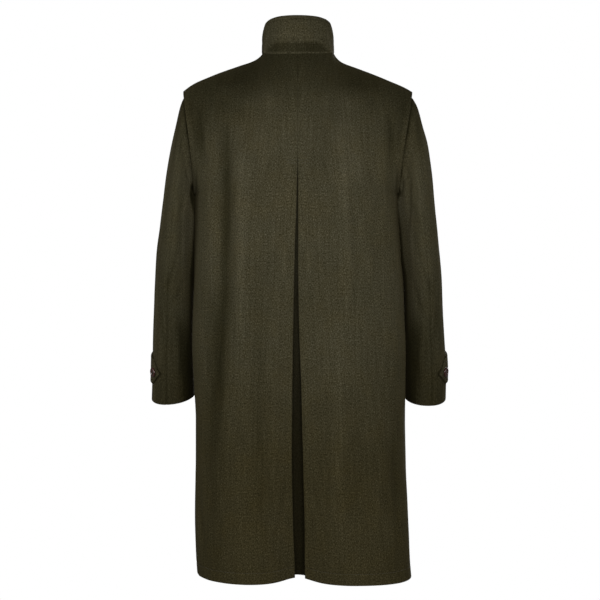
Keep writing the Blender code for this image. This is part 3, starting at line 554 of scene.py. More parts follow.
def cloth_piece(name, grid, material, node, thickness=CLOTH, edge=0.8 * MM,
                outward=None, relief=None):
    """A panel of cloth laid on a grid of points, with its outer side towards outward."""
    rows, columns = grid.shape[0] - 1, grid.shape[1] - 1
    shape = bmesh.new()
    shape.loops.layers.uv.new("cloth")
    bmesh.ops.create_grid(shape, x_segments=columns, y_segments=rows, size=0.5, calc_uvs=True)
    level = shape.verts.layers.float.new("relief")
    places = {}
    for vert in shape.verts:
        i, j = round((vert.co.x + 0.5) * columns), round((vert.co.y + 0.5) * rows)
        places[vert] = (j, i)
        vert.co = grid[j, i]
        vert[level] = 0.0 if relief is None else relief[j, i]
    across = grid_lengths(grid, 1)
    across -= across[:, [columns // 2]]
    along = grid_lengths(grid, 0)
    uv = shape.loops.layers.uv["cloth"]
    for face in shape.faces:
        for loop in face.loops:
            j, i = places[loop.vert]
            loop[uv].uv = (across[j, i], along[j, i])
    shape.normal_update()
    middle = (rows // 2) * columns + columns // 2
    shape.faces.ensure_lookup_table()
    if outward is not None and shape.faces[middle].normal.dot(Vector(outward)) < 0:
        bmesh.ops.reverse_faces(shape, faces=shape.faces)
    area = sum(face.calc_area() for face in shape.faces)
    thing = finish_object(name, finished_mesh(name, shape, material), [node])
    wall = thing.modifiers.new("cloth thickness", "SOLIDIFY")
    wall.thickness, wall.offset = thickness, -1.0
    rounding = thing.modifiers.new("rounded edges", "BEVEL")
    rounding.width, rounding.segments, rounding.limit_method = edge, EDGE_STEPS, "ANGLE"
    rounding.angle_limit = math.radians(EDGE_ANGLE)
    size = ((across[:, -1] - across[:, 0]).max(), along[-1].max())
    print(f"{name}: {rows} x {columns} faces, about {size[0]:.3f} x {size[1]:.3f} m, {area:.3f} m2")
    return thing, size, area


# %% [markdown]
# ## Shader maths as Python
# Materials are node graphs. A small class wraps an output socket, so a pattern can be written as an
# expression, and one method places any other node.

# %% Shader helper
class Value:
    """One socket of a material's nodes, with arithmetic."""

    def __init__(self, tree, socket):
        self.tree, self.socket = tree, socket

    def maths(self, operation, other):
        node = self.tree.nodes.new("ShaderNodeMath")
        node.operation = operation
        for place, item in zip(node.inputs, (self, other)):
            if isinstance(item, Value):
                self.tree.links.new(item.socket, place)
            else:
                place.default_value = item
        return Value(self.tree, node.outputs[0])

    def __add__(self, other):
        return self.maths("ADD", other)

    def __mul__(self, other):
        return self.maths("MULTIPLY", other)

    def __pow__(self, other):
        return self.maths("POWER", other)


class Finish:
    """A material and its nodes."""

    def __init__(self, name, **constants):
        self.material = bpy.data.materials.new(name)
        self.material.use_nodes = True
        self.tree = self.material.node_tree
        self.shader = self.tree.nodes["Principled BSDF"]
        for socket, value in constants.items():
            self.shader.inputs[socket.replace("_", " ")].default_value = value

    def node(self, kind, output, settings=None, **sockets):
        """Adds a node: settings are set first, then the values or links of its sockets."""
        made = self.tree.nodes.new(kind)
        for name, value in (settings or {}).items():
            setattr(made, name, value)
        for name, value in sockets.items():
            numbered = name[0] == "i" and name[1:].isdigit()
            place = made.inputs[int(name[1:]) if numbered else name]
            if isinstance(value, Value):
                self.tree.links.new(value.socket, place)
            else:
                place.default_value = value
        return Value(self.tree, made.outputs[output])

    def object_place(self):
        return self.node("ShaderNodeTexCoord", "Object")

    def cloth_place(self):
        return self.node("ShaderNodeUVMap", "UV", {"uv_map": "cloth"})

    def stretched(self, place, scale):
        return self.node("ShaderNodeMapping", 0, None, Vector=place, Scale=scale)

    def noise(self, place, scale, detail=2.0, roughness=0.5, distortion=0.0):
        return self.node("ShaderNodeTexNoise", 0, None, Vector=place, Scale=scale, Detail=detail,
                         Roughness=roughness, Distortion=distortion)

    def soften(self, value, low, high, to_low=0.0, to_high=1.0):
        return self.node("ShaderNodeMapRange", 0, {"interpolation_type": "SMOOTHSTEP"}, i0=value, i1=low,
                         i2=high, i3=to_low, i4=to_high)

    def blend(self, share, first, second, kind="MIX"):
        return self.node("ShaderNodeMix", 2, {"data_type": "RGBA", "blend_type": kind}, i0=share, i6=first,
                         i7=second)

    def feed(self, socket, value):
        self.tree.links.new(value.socket, self.shader.inputs[socket])

    def bump(self, height, distance, strength=1.0, under=None):
        extra = {} if under is None else {"Normal": under}
        return self.node("ShaderNodeBump", 0, None, Height=height, Distance=distance, Strength=strength,
                         **extra)


print("Shader helper ready")

# %% [markdown]
# ## Loden
# The yarn is spun from wool that was dyed in several shades, so the cloth is a fine heather of dark
# olive, brown and a few paler hairs. Milling hides the weave. What is left is a matted face with a
# short nap that lies downward: specks a little longer than they are wide, and soft streaks. The nap
# scatters light at grazing angles, which the shader's sheen gives. The sheen is kept low, because the
# cloth stays dark at its edges.

# %% Loden material
DARK_WOOL, MIDDLE_WOOL = (0.0158, 0.0138, 0.0056), (0.0520, 0.0468, 0.0268)
PALE_WOOL = (0.1280, 0.1170, 0.0770)
BROWN_TINT = (1.04, 0.94, 0.70, 1.0)
LOW_Z, LOWEST_Z = -0.55, -0.95


def loden(name, shade=1.0, seed=0.0):
    finish = Finish(name, Roughness=0.9, Specular_IOR_Level=0.08, Sheen_Weight=0.05, Sheen_Roughness=0.5,
                    Sheen_Tint=(0.6, 0.5, 0.24, 1.0), Specular_Tint=(0.9, 0.8, 0.5, 1.0))
    cloth = finish.cloth_place()
    place = finish.object_place()
    grain = finish.stretched(cloth, (1.0, 0.55, 1.0))
    specks = finish.noise(grain, 560.0 + seed, detail=3.0, roughness=0.62)
    hairs = finish.noise(finish.stretched(cloth, (1.0, 0.16, 1.0)), 1300.0, detail=2.0, distortion=0.4)
    streaks = finish.noise(finish.stretched(cloth, (1.0, 0.07, 1.0)), 210.0, detail=2.0)
    clouds = finish.noise(place, 26.0, detail=3.0, roughness=0.6)
    patches = finish.noise(place, 6.5, detail=2.0)
    dark, middle, pale = [tuple(part * shade for part in wool) + (1.0,)
                          for wool in (DARK_WOOL, MIDDLE_WOOL, PALE_WOOL)]
    mixed = specks * 0.67 + hairs * 0.21 + streaks * 0.12
    body = finish.blend(finish.soften(mixed, 0.38, 0.53), dark, middle)
    body = finish.blend(finish.soften(mixed, 0.53, 0.68, 0.0, 0.9), body, pale)
    height = finish.node("ShaderNodeSeparateXYZ", 2, None, Vector=place)
    low = finish.soften(height, LOW_Z, LOWEST_Z)
    browner = finish.soften(finish.noise(place, 8.0, detail=3.0), 0.46, 0.64, 0.0, 0.16)
    warm = finish.soften(clouds, 0.42, 0.66, 0.0, 0.2) + low * 0.6 + browner
    body = finish.blend(warm, body, finish.blend(1.0, body, BROWN_TINT, kind="MULTIPLY"))
    relief = finish.node("ShaderNodeAttribute", "Fac", {"attribute_name": "relief"})
    # Painted shade and painted light: the colour is darkened in troughs and deep recesses, lightened on
    # ridges and darkened towards the hem, and darker parts are made warmer. The patches are the cloth's own
    # uneven tone.
    painted_crease_shade = finish.soften(relief, -15.0, 0.0, 0.3, 1.0)
    painted_ridge_light = finish.soften(relief, 0.0, 8.0, 1.0, 1.27)
    painted_recess_shade = finish.soften(relief, -30.0, -15.0, 0.12, 1.0)
    painted_low_shade = finish.soften(height, -0.5, -0.9, 1.0, 0.76)
    tone_and_painted_shade = finish.soften(patches, 0.3, 0.7, 0.93, 1.07) * painted_crease_shade * painted_recess_shade * painted_ridge_light * painted_low_shade
    painted_shade_warmth = tone_and_painted_shade ** 0.2
    tone_and_painted_shade_colour = finish.node("ShaderNodeCombineColor", 0, None, i0=tone_and_painted_shade, i1=tone_and_painted_shade, i2=tone_and_painted_shade * painted_shade_warmth)
    body = finish.blend(1.0, body, tone_and_painted_shade_colour, kind="MULTIPLY")
    finish.feed("Base Color", body)
    finish.feed("Roughness", finish.soften(mixed, 0.3, 0.7, 0.97, 0.82))
    felt = finish.bump(clouds, 0.0012, 0.25)
    finish.feed("Normal", finish.bump(mixed, 0.0009, 0.45, under=felt))
    return finish.material


LODEN = loden("loden_cloth")
# A darker copy of the loden: painted shade for the cloth deep inside the pleat.
LODEN_PLEAT_SHADE = loden("loden_pleat_painted_shade", shade=0.28, seed=11.0)
print("Materials:", LODEN.name, LODEN_PLEAT_SHADE.name)

# %% [markdown]
# ## The back panels
# The centre back seam is sewn down to a short bar of stitches between the shoulder blades. Below it,
# each panel's edge is pressed into a rounded fold and goes back behind itself: that return is half of
# the inverted pleat. So a back panel is one piece of cloth from the return's edge, round the fold and
# across the blade to the side seam.

# %% Back panels
FOLD_STEPS = 9
FOLD_SHADE = 6.5
FOLD_ROUND, FOLD_ROUND_OPEN, FOLD_HALF_DEPTH = 0.9 * MM, 2.1 * MM, 3.1 * MM
CLOSED_OVERLAP = 0.7 * MM
FACE_SHARES = np.concatenate([np.linspace(0, 0.1, 9)[:-1], np.linspace(0.1, 1.0, 72)])
RETURN_SHARES = np.linspace(1.0, 0.0, 12)[:-1]


def pleat_opening(z):
    """The gap at the pleat and its drift to the left; above the pleat's top the seam is closed."""
    closed = ease(PLEAT_TOP_Z - 30 * MM, PLEAT_TOP_Z, z)
    return body_size("gap", z) * MM - CLOSED_OVERLAP * closed, body_size("drift", z) * MM


def side_seam(cloth, side):
    """How far each row runs from the centre line to its side seam."""
    lengths = cloth[2]
    return (np.abs(lengths[:, -1] if side > 0 else lengths[:, 0]) + SEAM_OVERLAP / 2)[:, None]


def return_width(z):
    return smooth_lookup(RETURN_WIDTH_COLUMNS, RETURN_WIDTHS, "width", z / MM) * MM


def back_panel(side):
    gap, drift = pleat_opening(row_z)
    start = (side * drift + gap / 2)[:, None]
    end = side_seam(back_strip, side)
    open_share = (1 - ease(PLEAT_TOP_Z - 34 * MM, PLEAT_TOP_Z + 6 * MM, row_z))[:, None]
    round_along = FOLD_ROUND + FOLD_ROUND_OPEN * open_share
    back_of = start + round_along + (return_width(row_z)[:, None] - round_along) * RETURN_SHARES
    turn = np.linspace(math.pi / 2, -math.pi / 2, FOLD_STEPS + 2)
    fold_along = start + round_along * (1 - np.cos(turn))
    fold_deep = np.broadcast_to(FOLD_HALF_DEPTH * (1 + np.sin(turn)), fold_along.shape)
    face_start = start + round_along
    face_along = face_start + (end - face_start) * FACE_SHARES[1:]
    distances = np.concatenate([back_of, fold_along, face_along], axis=1)
    deep = np.concatenate([np.full(back_of.shape, 2 * FOLD_HALF_DEPTH), fold_deep,
                           np.zeros(face_along.shape)], axis=1)
    places, facing, relief = read_strip(back_strip, side * distances)
    relief = relief - FOLD_SHADE * np.maximum(deep / FOLD_HALF_DEPTH - 0.5, 0.0)
    return places - facing * deep[..., None], relief


panels = {}
for name, side in (("back_left", 1), ("back_right", -1)):
    grid, relief = back_panel(side)
    panels[name] = cloth_piece(name + "_cloth", grid, LODEN, name, outward=(0, 1, 0), relief=relief)

# %% [markdown]
# ## The pleat's underlay
# A strip of the same cloth joins the two returns behind the opening. It is deeper in its middle
# towards the hem, and hangs in a few narrow vertical folds.

# %% Pleat underlay
UNDERLAY_FOLDS = (
    (((-14, -420), (-9, -640), (-13, -860), (-8, -1080)), 5, -2.4, 7),
    (((2, -500), (5, -720), (1, -900), (4, -1085)), 4, 1.8, 6),
    (((15, -560), (12, -760), (17, -930), (13, -1085)), 5, -1.9, 6),
)
UNDERLAY_WIDEST, UNDERLAY_INSET = 86 * MM, 2 * MM
UNDERLAY_DEPTH, UNDERLAY_SAG, UNDERLAY_SAG_TOP_Z = 7.4 * MM, 22 * MM, PLEAT_TOP_Z - 60 * MM


def underlay_grid():
    rows = row_z < UNDERLAY_TOP_Z
    z = row_z[rows]
    gap, drift = pleat_opening(z)
    half = np.minimum(return_width(z) + gap / 2, UNDERLAY_WIDEST) - UNDERLAY_INSET
    shares = np.linspace(-1, 1, 41)
    sag = UNDERLAY_SAG * (1 - ease(HEM_Z, UNDERLAY_SAG_TOP_Z, z))
    distances = drift[:, None] + shares * half[:, None]
    cloth = tuple(part[rows] for part in back_strip)
    places, facing, _ = read_strip(cloth, distances)
    deep = UNDERLAY_DEPTH + sag[:, None] * np.cos(shares * math.pi / 2) ** 1.3
    deep = deep - add_creases(places[..., 0] / MM, places[..., 2] / MM, UNDERLAY_FOLDS)
    return places - facing * deep[..., None]


# The underlay wears the darker copy of the loden, painted shade inside the pleat.
panels["pleat_underlay"] = cloth_piece(
    "pleat_underlay_cloth", underlay_grid(), LODEN_PLEAT_SHADE, "pleat_underlay",
    outward=(0, 1, 0))

# %% [markdown]
# ## The front panels
# The photo doesn't show the front, so it gets what such a coat must have: two fronts that lap left
# over right, and five buttons.

# %% Front panels
FRONT_SHARES = np.concatenate([np.linspace(0, 0.16, 40)[:-1], np.linspace(0.16, 1.0, 68)])
FRONT_STITCH_INSET = 9 * MM
UNDERLAP_START, UNDERLAP_END = FRONT_OVERLAP + 6 * MM, FRONT_OVERLAP + 40 * MM
LAP_SHADE, LAP_SHADE_WIDTH = 11.0, 3.5 * MM
STITCH_SHADE, EDGE_SHADE, EDGE_SHADE_WIDTH = 4.0, 5.0, 1.5 * MM


def front_panel(side):
    distances = -FRONT_OVERLAP + (side_seam(front_strip, side) + FRONT_OVERLAP) * FRONT_SHARES
    places, facing, relief = read_strip(front_strip, side * distances)
    if side < 0:
        under = 1 - ease(UNDERLAP_START, UNDERLAP_END, distances)
        places = places - facing * (UNDERLAP_DEPTH * under)[..., None]
        relief = relief - LAP_SHADE * hump(distances, FRONT_OVERLAP, LAP_SHADE_WIDTH)
    from_edge = distances + FRONT_OVERLAP
    stitched = hump(from_edge, FRONT_STITCH_INSET, STITCH_SINK_WIDTH)
    relief = relief - STITCH_SHADE * stitched - EDGE_SHADE * hump(from_edge, 0.0, EDGE_SHADE_WIDTH)
    return places - facing * (STITCH_SINK * stitched)[..., None], relief


for name, side in (("front_left", 1), ("front_right", -1)):
    grid, relief = front_panel(side)
    panels[name] = cloth_piece(name + "_cloth", grid, LODEN, name, outward=(0, -1, 0), relief=relief)

# %% [markdown]
# ## The collar
# A loden coat's collar is a stand with a leaf. Here it is turned up: the stand rises from the neck
# seam, a soft roll marks where the leaf would fold down, and the leaf goes on upward to its stitched
# edge. Two rows of stitches hold the roll at the back.

# %% Collar
COLLAR_GAP = 0.6 * MM
COLLAR_ANGLES = np.linspace(-COLLAR_END_ANGLE, COLLAR_END_ANGLE, 221)
COLLAR_ROLL, COLLAR_EDGE_STITCH = 0.395, 0.895
COLLAR_STAND_STITCHES = (0.31, 0.25)
COLLAR_TUCK = 3.4 * MM
COLLAR_HEIGHTS = np.unique(np.concatenate([
    (-0.09, -0.06, -0.04, -0.02), np.linspace(0, 1, 40), COLLAR_ROLL + np.linspace(-0.05, 0.05, 9),
    np.linspace(0.23, 0.33, 17), COLLAR_EDGE_STITCH + np.linspace(-0.03, 0.03, 7)]))
ROLL_RIDGE, ROLL_RIDGE_BACK, ROLL_LINE_DEPTH = 0.4 * MM, 1.1 * MM, 1.0 * MM
STAND_DEPTH, STAND_STITCH_DEPTH, EDGE_STITCH_DEPTH = 2.0 * MM, 0.7 * MM, 0.6 * MM
RELIEF_SHADE, STAND_SHADE, LEAF_SHADE, EDGE_STITCH_SHADE = 2.2, 5.0, 3.0, 7.0
SEAM_LIGHT, SIDE_LIGHT, SIDE_SHADE = 3.0, 9.0, 8.0
COLLAR_LEANS = ((0.0, 0.0), (0.22, 0.0), (0.44, 0.15), (0.62, 0.12), (0.8, 0.4), (0.92, 0.7), (1.0, 1.0))


def collar_surface(heights, angles):
    shares, leans = np.array(COLLAR_LEANS).T
    grid = np.zeros((len(heights), len(angles), 3))
    for j, angle in enumerate(angles):
        seam = neck_point(angle)
        top = smooth_lookup(NECK_COLUMNS, NECK_RING, "top", abs(angle)) * MM
        lean = smooth_lookup(NECK_COLUMNS, NECK_RING, "lean", abs(angle)) * MM
        outward = np.array([math.sin(math.radians(angle)), math.cos(math.radians(angle)), 0.0])
        start = seam[2] + COLLAR_GAP
        inward = lean * np.interp(heights, shares, leans) + COLLAR_TUCK * ease(0.0, -0.05, heights)
        grid[:, j] = seam - outward * inward[:, None]
        grid[:, j, 2] = start + (top - start) * heights
    return grid


def collar_grid():
    """The collar's places and its painted shade and light. Heights are shares of the collar and angles are
    from the back.
    """
    grid = collar_surface(COLLAR_HEIGHTS, COLLAR_ANGLES)
    outward = unit(grid * np.array([1, 1, 0]))
    height, angle = np.meshgrid(COLLAR_HEIGHTS, np.abs(COLLAR_ANGLES), indexing="ij")
    stand = ease(-0.004, 0.022, height) * (1 - ease(0.22, 0.36, height))
    stand = stand * (1 - ease(54, 74, angle + 80 * height))
    roll = 1 - ease(40, 70, angle)
    relief = (ROLL_RIDGE + ROLL_RIDGE_BACK * roll) * hump(height, COLLAR_ROLL + 0.08, 0.07)
    relief -= STAND_DEPTH * stand + ROLL_LINE_DEPTH * roll * hump(height, COLLAR_ROLL, 0.016)
    for place in COLLAR_STAND_STITCHES:
        relief -= STAND_STITCH_DEPTH * roll * hump(height, place, 0.012)
    relief -= EDGE_STITCH_DEPTH * hump(height, COLLAR_EDGE_STITCH, 0.014)
    relief += cloth_life(grid, 35 * MM, 0.9 * MM, 12) + cloth_life(grid, 12 * MM, 0.25 * MM, 14)
    shade = RELIEF_SHADE * relief / MM - STAND_SHADE * stand
    shade += SEAM_LIGHT * hump(height, 0.0, 0.007) - LEAF_SHADE * ease(0.7, 1.0, height)
    shade -= EDGE_STITCH_SHADE * hump(height, COLLAR_EDGE_STITCH, 0.016)
    shade += SIDE_LIGHT * hump(angle + 20 * height, 67, 3.5) * (1 - ease(0.5, 0.75, height))
    shade -= SIDE_SHADE * ease(74, 84, angle)
    return grid + outward * relief[..., None], shade


grid, relief = collar_grid()
panels["collar"] = cloth_piece("collar_cloth", grid, LODEN, "collar", thickness=2.6 * MM, edge=1.0 * MM,
                               relief=relief)

# %% [markdown]
# ## The sleeves
# A sleeve is two pieces, seamed behind the elbow and along the front of the arm. It bends forward a
# little, as an arm does. The rings of the table are joined by smooth curves, and each sleeve gets its
# own drag lines: diagonal ones from the armhole, a few soft ones at the elbow and long ones down to
# the cuff. Their places are an angle round the sleeve, in degrees from its outer side towards the
# back, and a height in millimetres. The painted shades and painted lights on a sleeve are given the
# same way: how strong each is, how far it reaches round the arm in radians, and the heights between
# which it comes or goes.

# %% Sleeve rings
SLEEVE_SQUARENESS = 2.15
INNER_FULLNESS = 6.5 * MM
ARMHOLE_GROOVE_ROW, ARMHOLE_GROOVE, SLEEVE_PUFF = 1.12, 1.8 * MM, 1.2 * MM
DEGREE_WIDTH = 1.15
TAB_HEIGHT_ABOVE_CUFF, TAB_HALF_WIDTH, TAB_POINT_LENGTH = 70 * MM, 27.5 * MM, 24 * MM
TAB_BACK_ANGLE, TAB_FRONT_ANGLE, TAB_BUTTON_ANGLE = 60, -78, 40
TAB_TIP_SHARE, TAB_STITCH_INSET = 0.06, 5 * MM
TAB_SHADE, TAB_SHADE_WIDTH = 9.0, 3.5 * MM
TAB_EDGE_SHADE, TAB_FACE_SHADE = 7.0, 3.0
# Painted shade and painted light on the sleeves: darker at the underarm, in the gap beside the body and
# towards the cuff, lighter along the outer side and at the elbow.
UNDERARM_PIT_SHADES = {"left": (-286, 38, 15.0, 0.5), "right": (-288, 18, 8.0, 0.26)}
UNDERARM_SHADE_Z = {"left": -276, "right": -254}
UNDERARM_SHADE_SPREAD, GROOVE_SHADE, UNDERARM_SHADE = 15, 6.0, 19.0
DOWN_SHADE, DOWN_Z = 7.0, (-220, -600)
GAP_SHADE, GAP_START_Z, GAP_REACH, GAP_SOFTNESS = 5.0, (-255, -280), 0.16, 0.2
GAP_HIGH_SHADE, GAP_HIGH_Z, GAP_LOW_REACH, GAP_LOW_Z = 17.0, (-500, -640), 0.74, (-540, -670)
INNER_SHADE, INNER_REACH, INNER_Z = 9.0, (0.6, 1.4), (-460, -650)
OUTER_LIGHT, OUTER_PLACE, OUTER_Z = 8.0, (0.58, 0.13), (-110, -190)
ELBOW_LIGHT, ELBOW_PLACE, ELBOW_TOP_Z, ELBOW_LOW_Z = 6.5, (0.75, 0.32), (-285, -335), (-520, -610)
SLEEVE_RELIEF_SHADE = 1.5
RING_ROWS = np.concatenate([np.linspace(0, 3, 40)[:-1], np.linspace(3, 12.75, 122)[:-1],
                            np.linspace(12.75, 13, 8)])
LEFT_SLEEVE_CREASES = (
    (((166, -235), (168, -300), (172, -370), (176, -460)), 24, 7.5, 30),
    (((128, -190), (134, -290), (136, -380), (130, -470)), 15, 3.6, 18),
    (((30, -130), (45, -220), (38, -320), (48, -420)), 9, -2.0, 14),
    (((60, -160), (72, -260), (66, -360)), 8, 1.6, 12),
    (((96, -175), (114, -208), (136, -248), (156, -300)), 5, -5.5, 8),
    (((104, -200), (112, -260), (128, -320)), 7, 1.8, 10),
    (((20, -300), (14, -400), (22, -520), (16, -640)), 7, 1.7, 9),
    (((100, -420), (84, -470), (70, -495)), 8, -2.0, 12),
    (((140, -470), (115, -505), (92, -520)), 7, -1.8, 10),
    (((60, -560), (52, -630), (58, -700)), 10, 1.4, 13),
    (((118, -540), (124, -610), (116, -690)), 9, -1.6, 12),
    (((-40, -170), (-52, -280), (-46, -400)), 10, -1.8, 14),
    (((-70, -420), (-84, -470), (-72, -540)), 9, -2.0, 12),
    (((-120, -350), (-112, -450), (-124, -560)), 10, 1.6, 12),
)
RIGHT_SLEEVE_CREASES = (
    (((166, -235), (170, -300), (174, -370), (176, -460)), 24, 7.5, 30),
    (((126, -195), (132, -290), (134, -390), (128, -480)), 15, 3.2, 18),
    (((36, -105), (24, -180), (20, -260), (30, -380)), 6, 2.0, 8),
    (((52, -130), (64, -230), (58, -340)), 9, -1.8, 13),
    (((84, -125), (98, -180), (122, -250)), 5, -5.0, 8),
    (((112, -175), (128, -230), (150, -300)), 5, -5.5, 8),
    (((108, -250), (126, -305), (140, -370)), 6, -4.0, 9),
    (((80, -220), (86, -320), (80, -420)), 9, 1.6, 12),
    (((96, -440), (82, -480), (64, -505)), 8, -2.0, 12),
    (((136, -480), (116, -520), (96, -540)), 7, -1.8, 10),
    (((56, -570), (48, -640), (54, -710)), 10, 1.5, 13),
    (((112, -560), (120, -640), (110, -710)), 9, -1.6, 12),
    (((-46, -180), (-38, -300), (-50, -430)), 11, -1.8, 13),
    (((-80, -430), (-70, -490), (-82, -560)), 9, -2.0, 12),
    (((-118, -340), (-126, -460), (-116, -580)), 10, 1.6, 12),
)


def armhole_ring(side, tuck):
    middle_z = (UNDERARM_Z + SHOULDER_CORNER_Z) / 2
    ring = []
    for angle in range(360):
        face = 1 if angle <= 180 else -1
        point = armhole_point(1 - min(angle, 360 - angle) / 180, side, face)
        shrink = SLEEVE_HEAD_SHARE if point[2] > middle_z else SLEEVE_FOOT_SHARE
        point[2] = middle_z + (point[2] - middle_z) * shrink
        reach = (point[2] - UNDERARM_Z) / (SHOULDER_CORNER_Z - UNDERARM_Z)
        point[0] = armhole_x(reach, side) - side * tuck
        point[1] *= SLEEVE_DEPTH_SHARE
        ring.append(point)
    return np.array(ring)


def table_ring(row, side):
    size = dict(zip(SLEEVE_COLUMNS, row))
    outer = np.array([size["outer_x"], 0.0, size["outer_z"]])
    inner = np.array([size["inner_x"], 0.0, size["inner_z"]])
    angle = np.radians(np.arange(360))
    power = 2 / SLEEVE_SQUARENESS
    across = np.copysign(np.abs(np.cos(angle)) ** power, np.cos(angle))
    depth = np.copysign(np.abs(np.sin(angle)) ** power, np.sin(angle))
    depth = depth * (size["back"] - size["front"]) / 2
    points = (outer + inner) / 2 + (outer - inner) / 2 * across[:, None]
    points[:, 0] += size["swing"] * depth * np.maximum(0.0, -across)
    points[:, 1] = (size["back"] + size["front"]) / 2 + depth
    points[:, 2] -= math.tan(math.radians(size["pitch"])) * depth
    points[:, 0] *= side
    return points * MM


def between_rings(rings, places):
    """Rings at any place between the given ones, on smooth curves through them."""
    last = len(rings) - 1
    made = []
    for place in places:
        index = min(int(place), last - 1)
        t = place - index
        before, first = rings[max(index - 1, 0)], rings[index]
        second, after = rings[index + 1], rings[min(index + 2, last)]
        made.append(0.5 * (2 * first + (second - before) * t
                           + (2 * before - 5 * first + 4 * second - after) * t**2
                           + (3 * first - before - 3 * second + after) * t**3))
    return np.array(made)


def tab_shade(points):
    """Painted shadow on the sleeve round the outline of the cuff tab."""
    up = grid_lengths(points[::-1], 0)[::-1]
    along = grid_lengths(np.roll(points, 180, axis=1), 1)
    to_tip = np.roll(along[:, [180 + TAB_BACK_ANGLE]] - along, -180, axis=1)
    narrow = np.clip(to_tip / TAB_POINT_LENGTH, 0.0, 1.0)
    beside = np.abs(up - TAB_HEIGHT_ABOVE_CUFF) - TAB_HALF_WIDTH * narrow
    outside = np.hypot(np.maximum(beside * 0.7, 0.0), np.maximum(-to_tip, 0.0))
    angle = np.arange(360)
    reached = (angle < 180) | (angle >= 360 + TAB_FRONT_ANGLE)
    return TAB_SHADE * reached * hump(outside, 0.0, TAB_SHADE_WIDTH)


def ring_normals(points, middle):
    normals = grid_normals(points, closed=True)
    return normals * np.sign(np.sum(normals * (points - middle), axis=2, keepdims=True))


def sleeve_painted_shading(points, round_arm, label):
    """Painted shade and light round a sleeve, where round_arm is 0 on its outer side and pi on its inner
    one.
    """
    height, from_inside = points[..., 2] / MM, math.pi - round_arm
    painted_shading = shoulder_painted_shade(points) - DOWN_SHADE * ease(*DOWN_Z, height)
    pit_z, pit_height, pit_shade, pit_reach = UNDERARM_PIT_SHADES[label]
    pit = hump(height, pit_z, pit_height)
    reach = GAP_REACH + GAP_LOW_REACH * ease(*GAP_LOW_Z, height) + pit_reach * pit
    gap_dark = GAP_SHADE + GAP_HIGH_SHADE * (1 - ease(*GAP_HIGH_Z, height)) + pit_shade * pit
    painted_shading -= gap_dark * (1 - ease(reach, reach + GAP_SOFTNESS, from_inside)) * ease(*GAP_START_Z, height)
    painted_shading -= INNER_SHADE * (1 - ease(*INNER_REACH, from_inside)) * ease(*INNER_Z, height)
    painted_shading += OUTER_LIGHT * hump(round_arm, *OUTER_PLACE) * ease(*OUTER_Z, height)
    at_elbow = ease(*ELBOW_TOP_Z, height) * (1 - ease(*ELBOW_LOW_Z, height))
    return painted_shading + ELBOW_LIGHT * hump(from_inside, *ELBOW_PLACE) * at_elbow - tab_shade(points)


def sleeve_surface(label):
    side = 1 if label == "left" else -1
    rings = [armhole_ring(side, SLEEVE_TUCK), armhole_ring(side, 0.0)]
    rings += [table_ring(edges + depths, side) for edges, depths in zip(SLEEVE_EDGES[label], SLEEVE_DEPTHS)]
    points = between_rings(rings, RING_ROWS)
    middle = points.mean(axis=1, keepdims=True)
    normals = ring_normals(points, middle)
    angle = np.broadcast_to(np.arange(360.0), points.shape[:2])
    angle = np.where(angle > 180, angle - 360, angle) * DEGREE_WIDTH
    creases = LEFT_SLEEVE_CREASES if side > 0 else RIGHT_SLEEVE_CREASES
    scaled = [([(a * DEGREE_WIDTH, z) for a, z in row[0]],) + row[1:] for row in creases]
    other_way = angle - 360 * DEGREE_WIDTH * np.sign(angle)
    extra = sum(add_creases(a, points[..., 2] / MM, scaled) for a in (angle, other_way))
    extra += cloth_life(points, 60 * MM, 1.3 * MM, 20 + side)
    extra += cloth_life(points, 25 * MM, 0.35 * MM, 24)
    extra *= ease(1.05, 2.0, RING_ROWS)[:, None]
    rows = RING_ROWS[:, None]
    round_arm = np.radians(np.abs(angle) / DEGREE_WIDTH)
    groove = hump(rows, ARMHOLE_GROOVE_ROW, 0.16)
    groove = groove * (0.2 * (round_arm < 1.57) + 0.8 * np.sin(round_arm))
    extra += INNER_FULLNESS * hump(rows, 2.7, 1.4) * hump(round_arm, math.pi, 0.7)
    extra += SLEEVE_PUFF * np.sin(round_arm) * hump(rows, 1.75, 0.35) - ARMHOLE_GROOVE * groove
    painted_shading = sleeve_painted_shading(points, round_arm, label)
    # Painted shade in the armhole groove under the arm.
    underarm_shade_mask = hump(points[..., 2] / MM, UNDERARM_SHADE_Z[label], UNDERARM_SHADE_SPREAD)
    points = points + normals * extra[..., None]
    relief = SLEEVE_RELIEF_SHADE * extra / MM - (GROOVE_SHADE + UNDERARM_SHADE * underarm_shade_mask) * groove + painted_shading
    return points, ring_normals(points, middle), relief


def read_ring(values, angles):
    low = np.floor(angles).astype(int)
    share = angles - low
    if values.ndim == 3:
        share = share[:, None]
    return values[:, low % 360] * (1 - share) + values[:, (low + 1) % 360] * share


sleeve_surfaces = {label: sleeve_surface(label) for label in ("left", "right")}
print("Sleeve rings:", sleeve_surfaces["left"][0].shape)

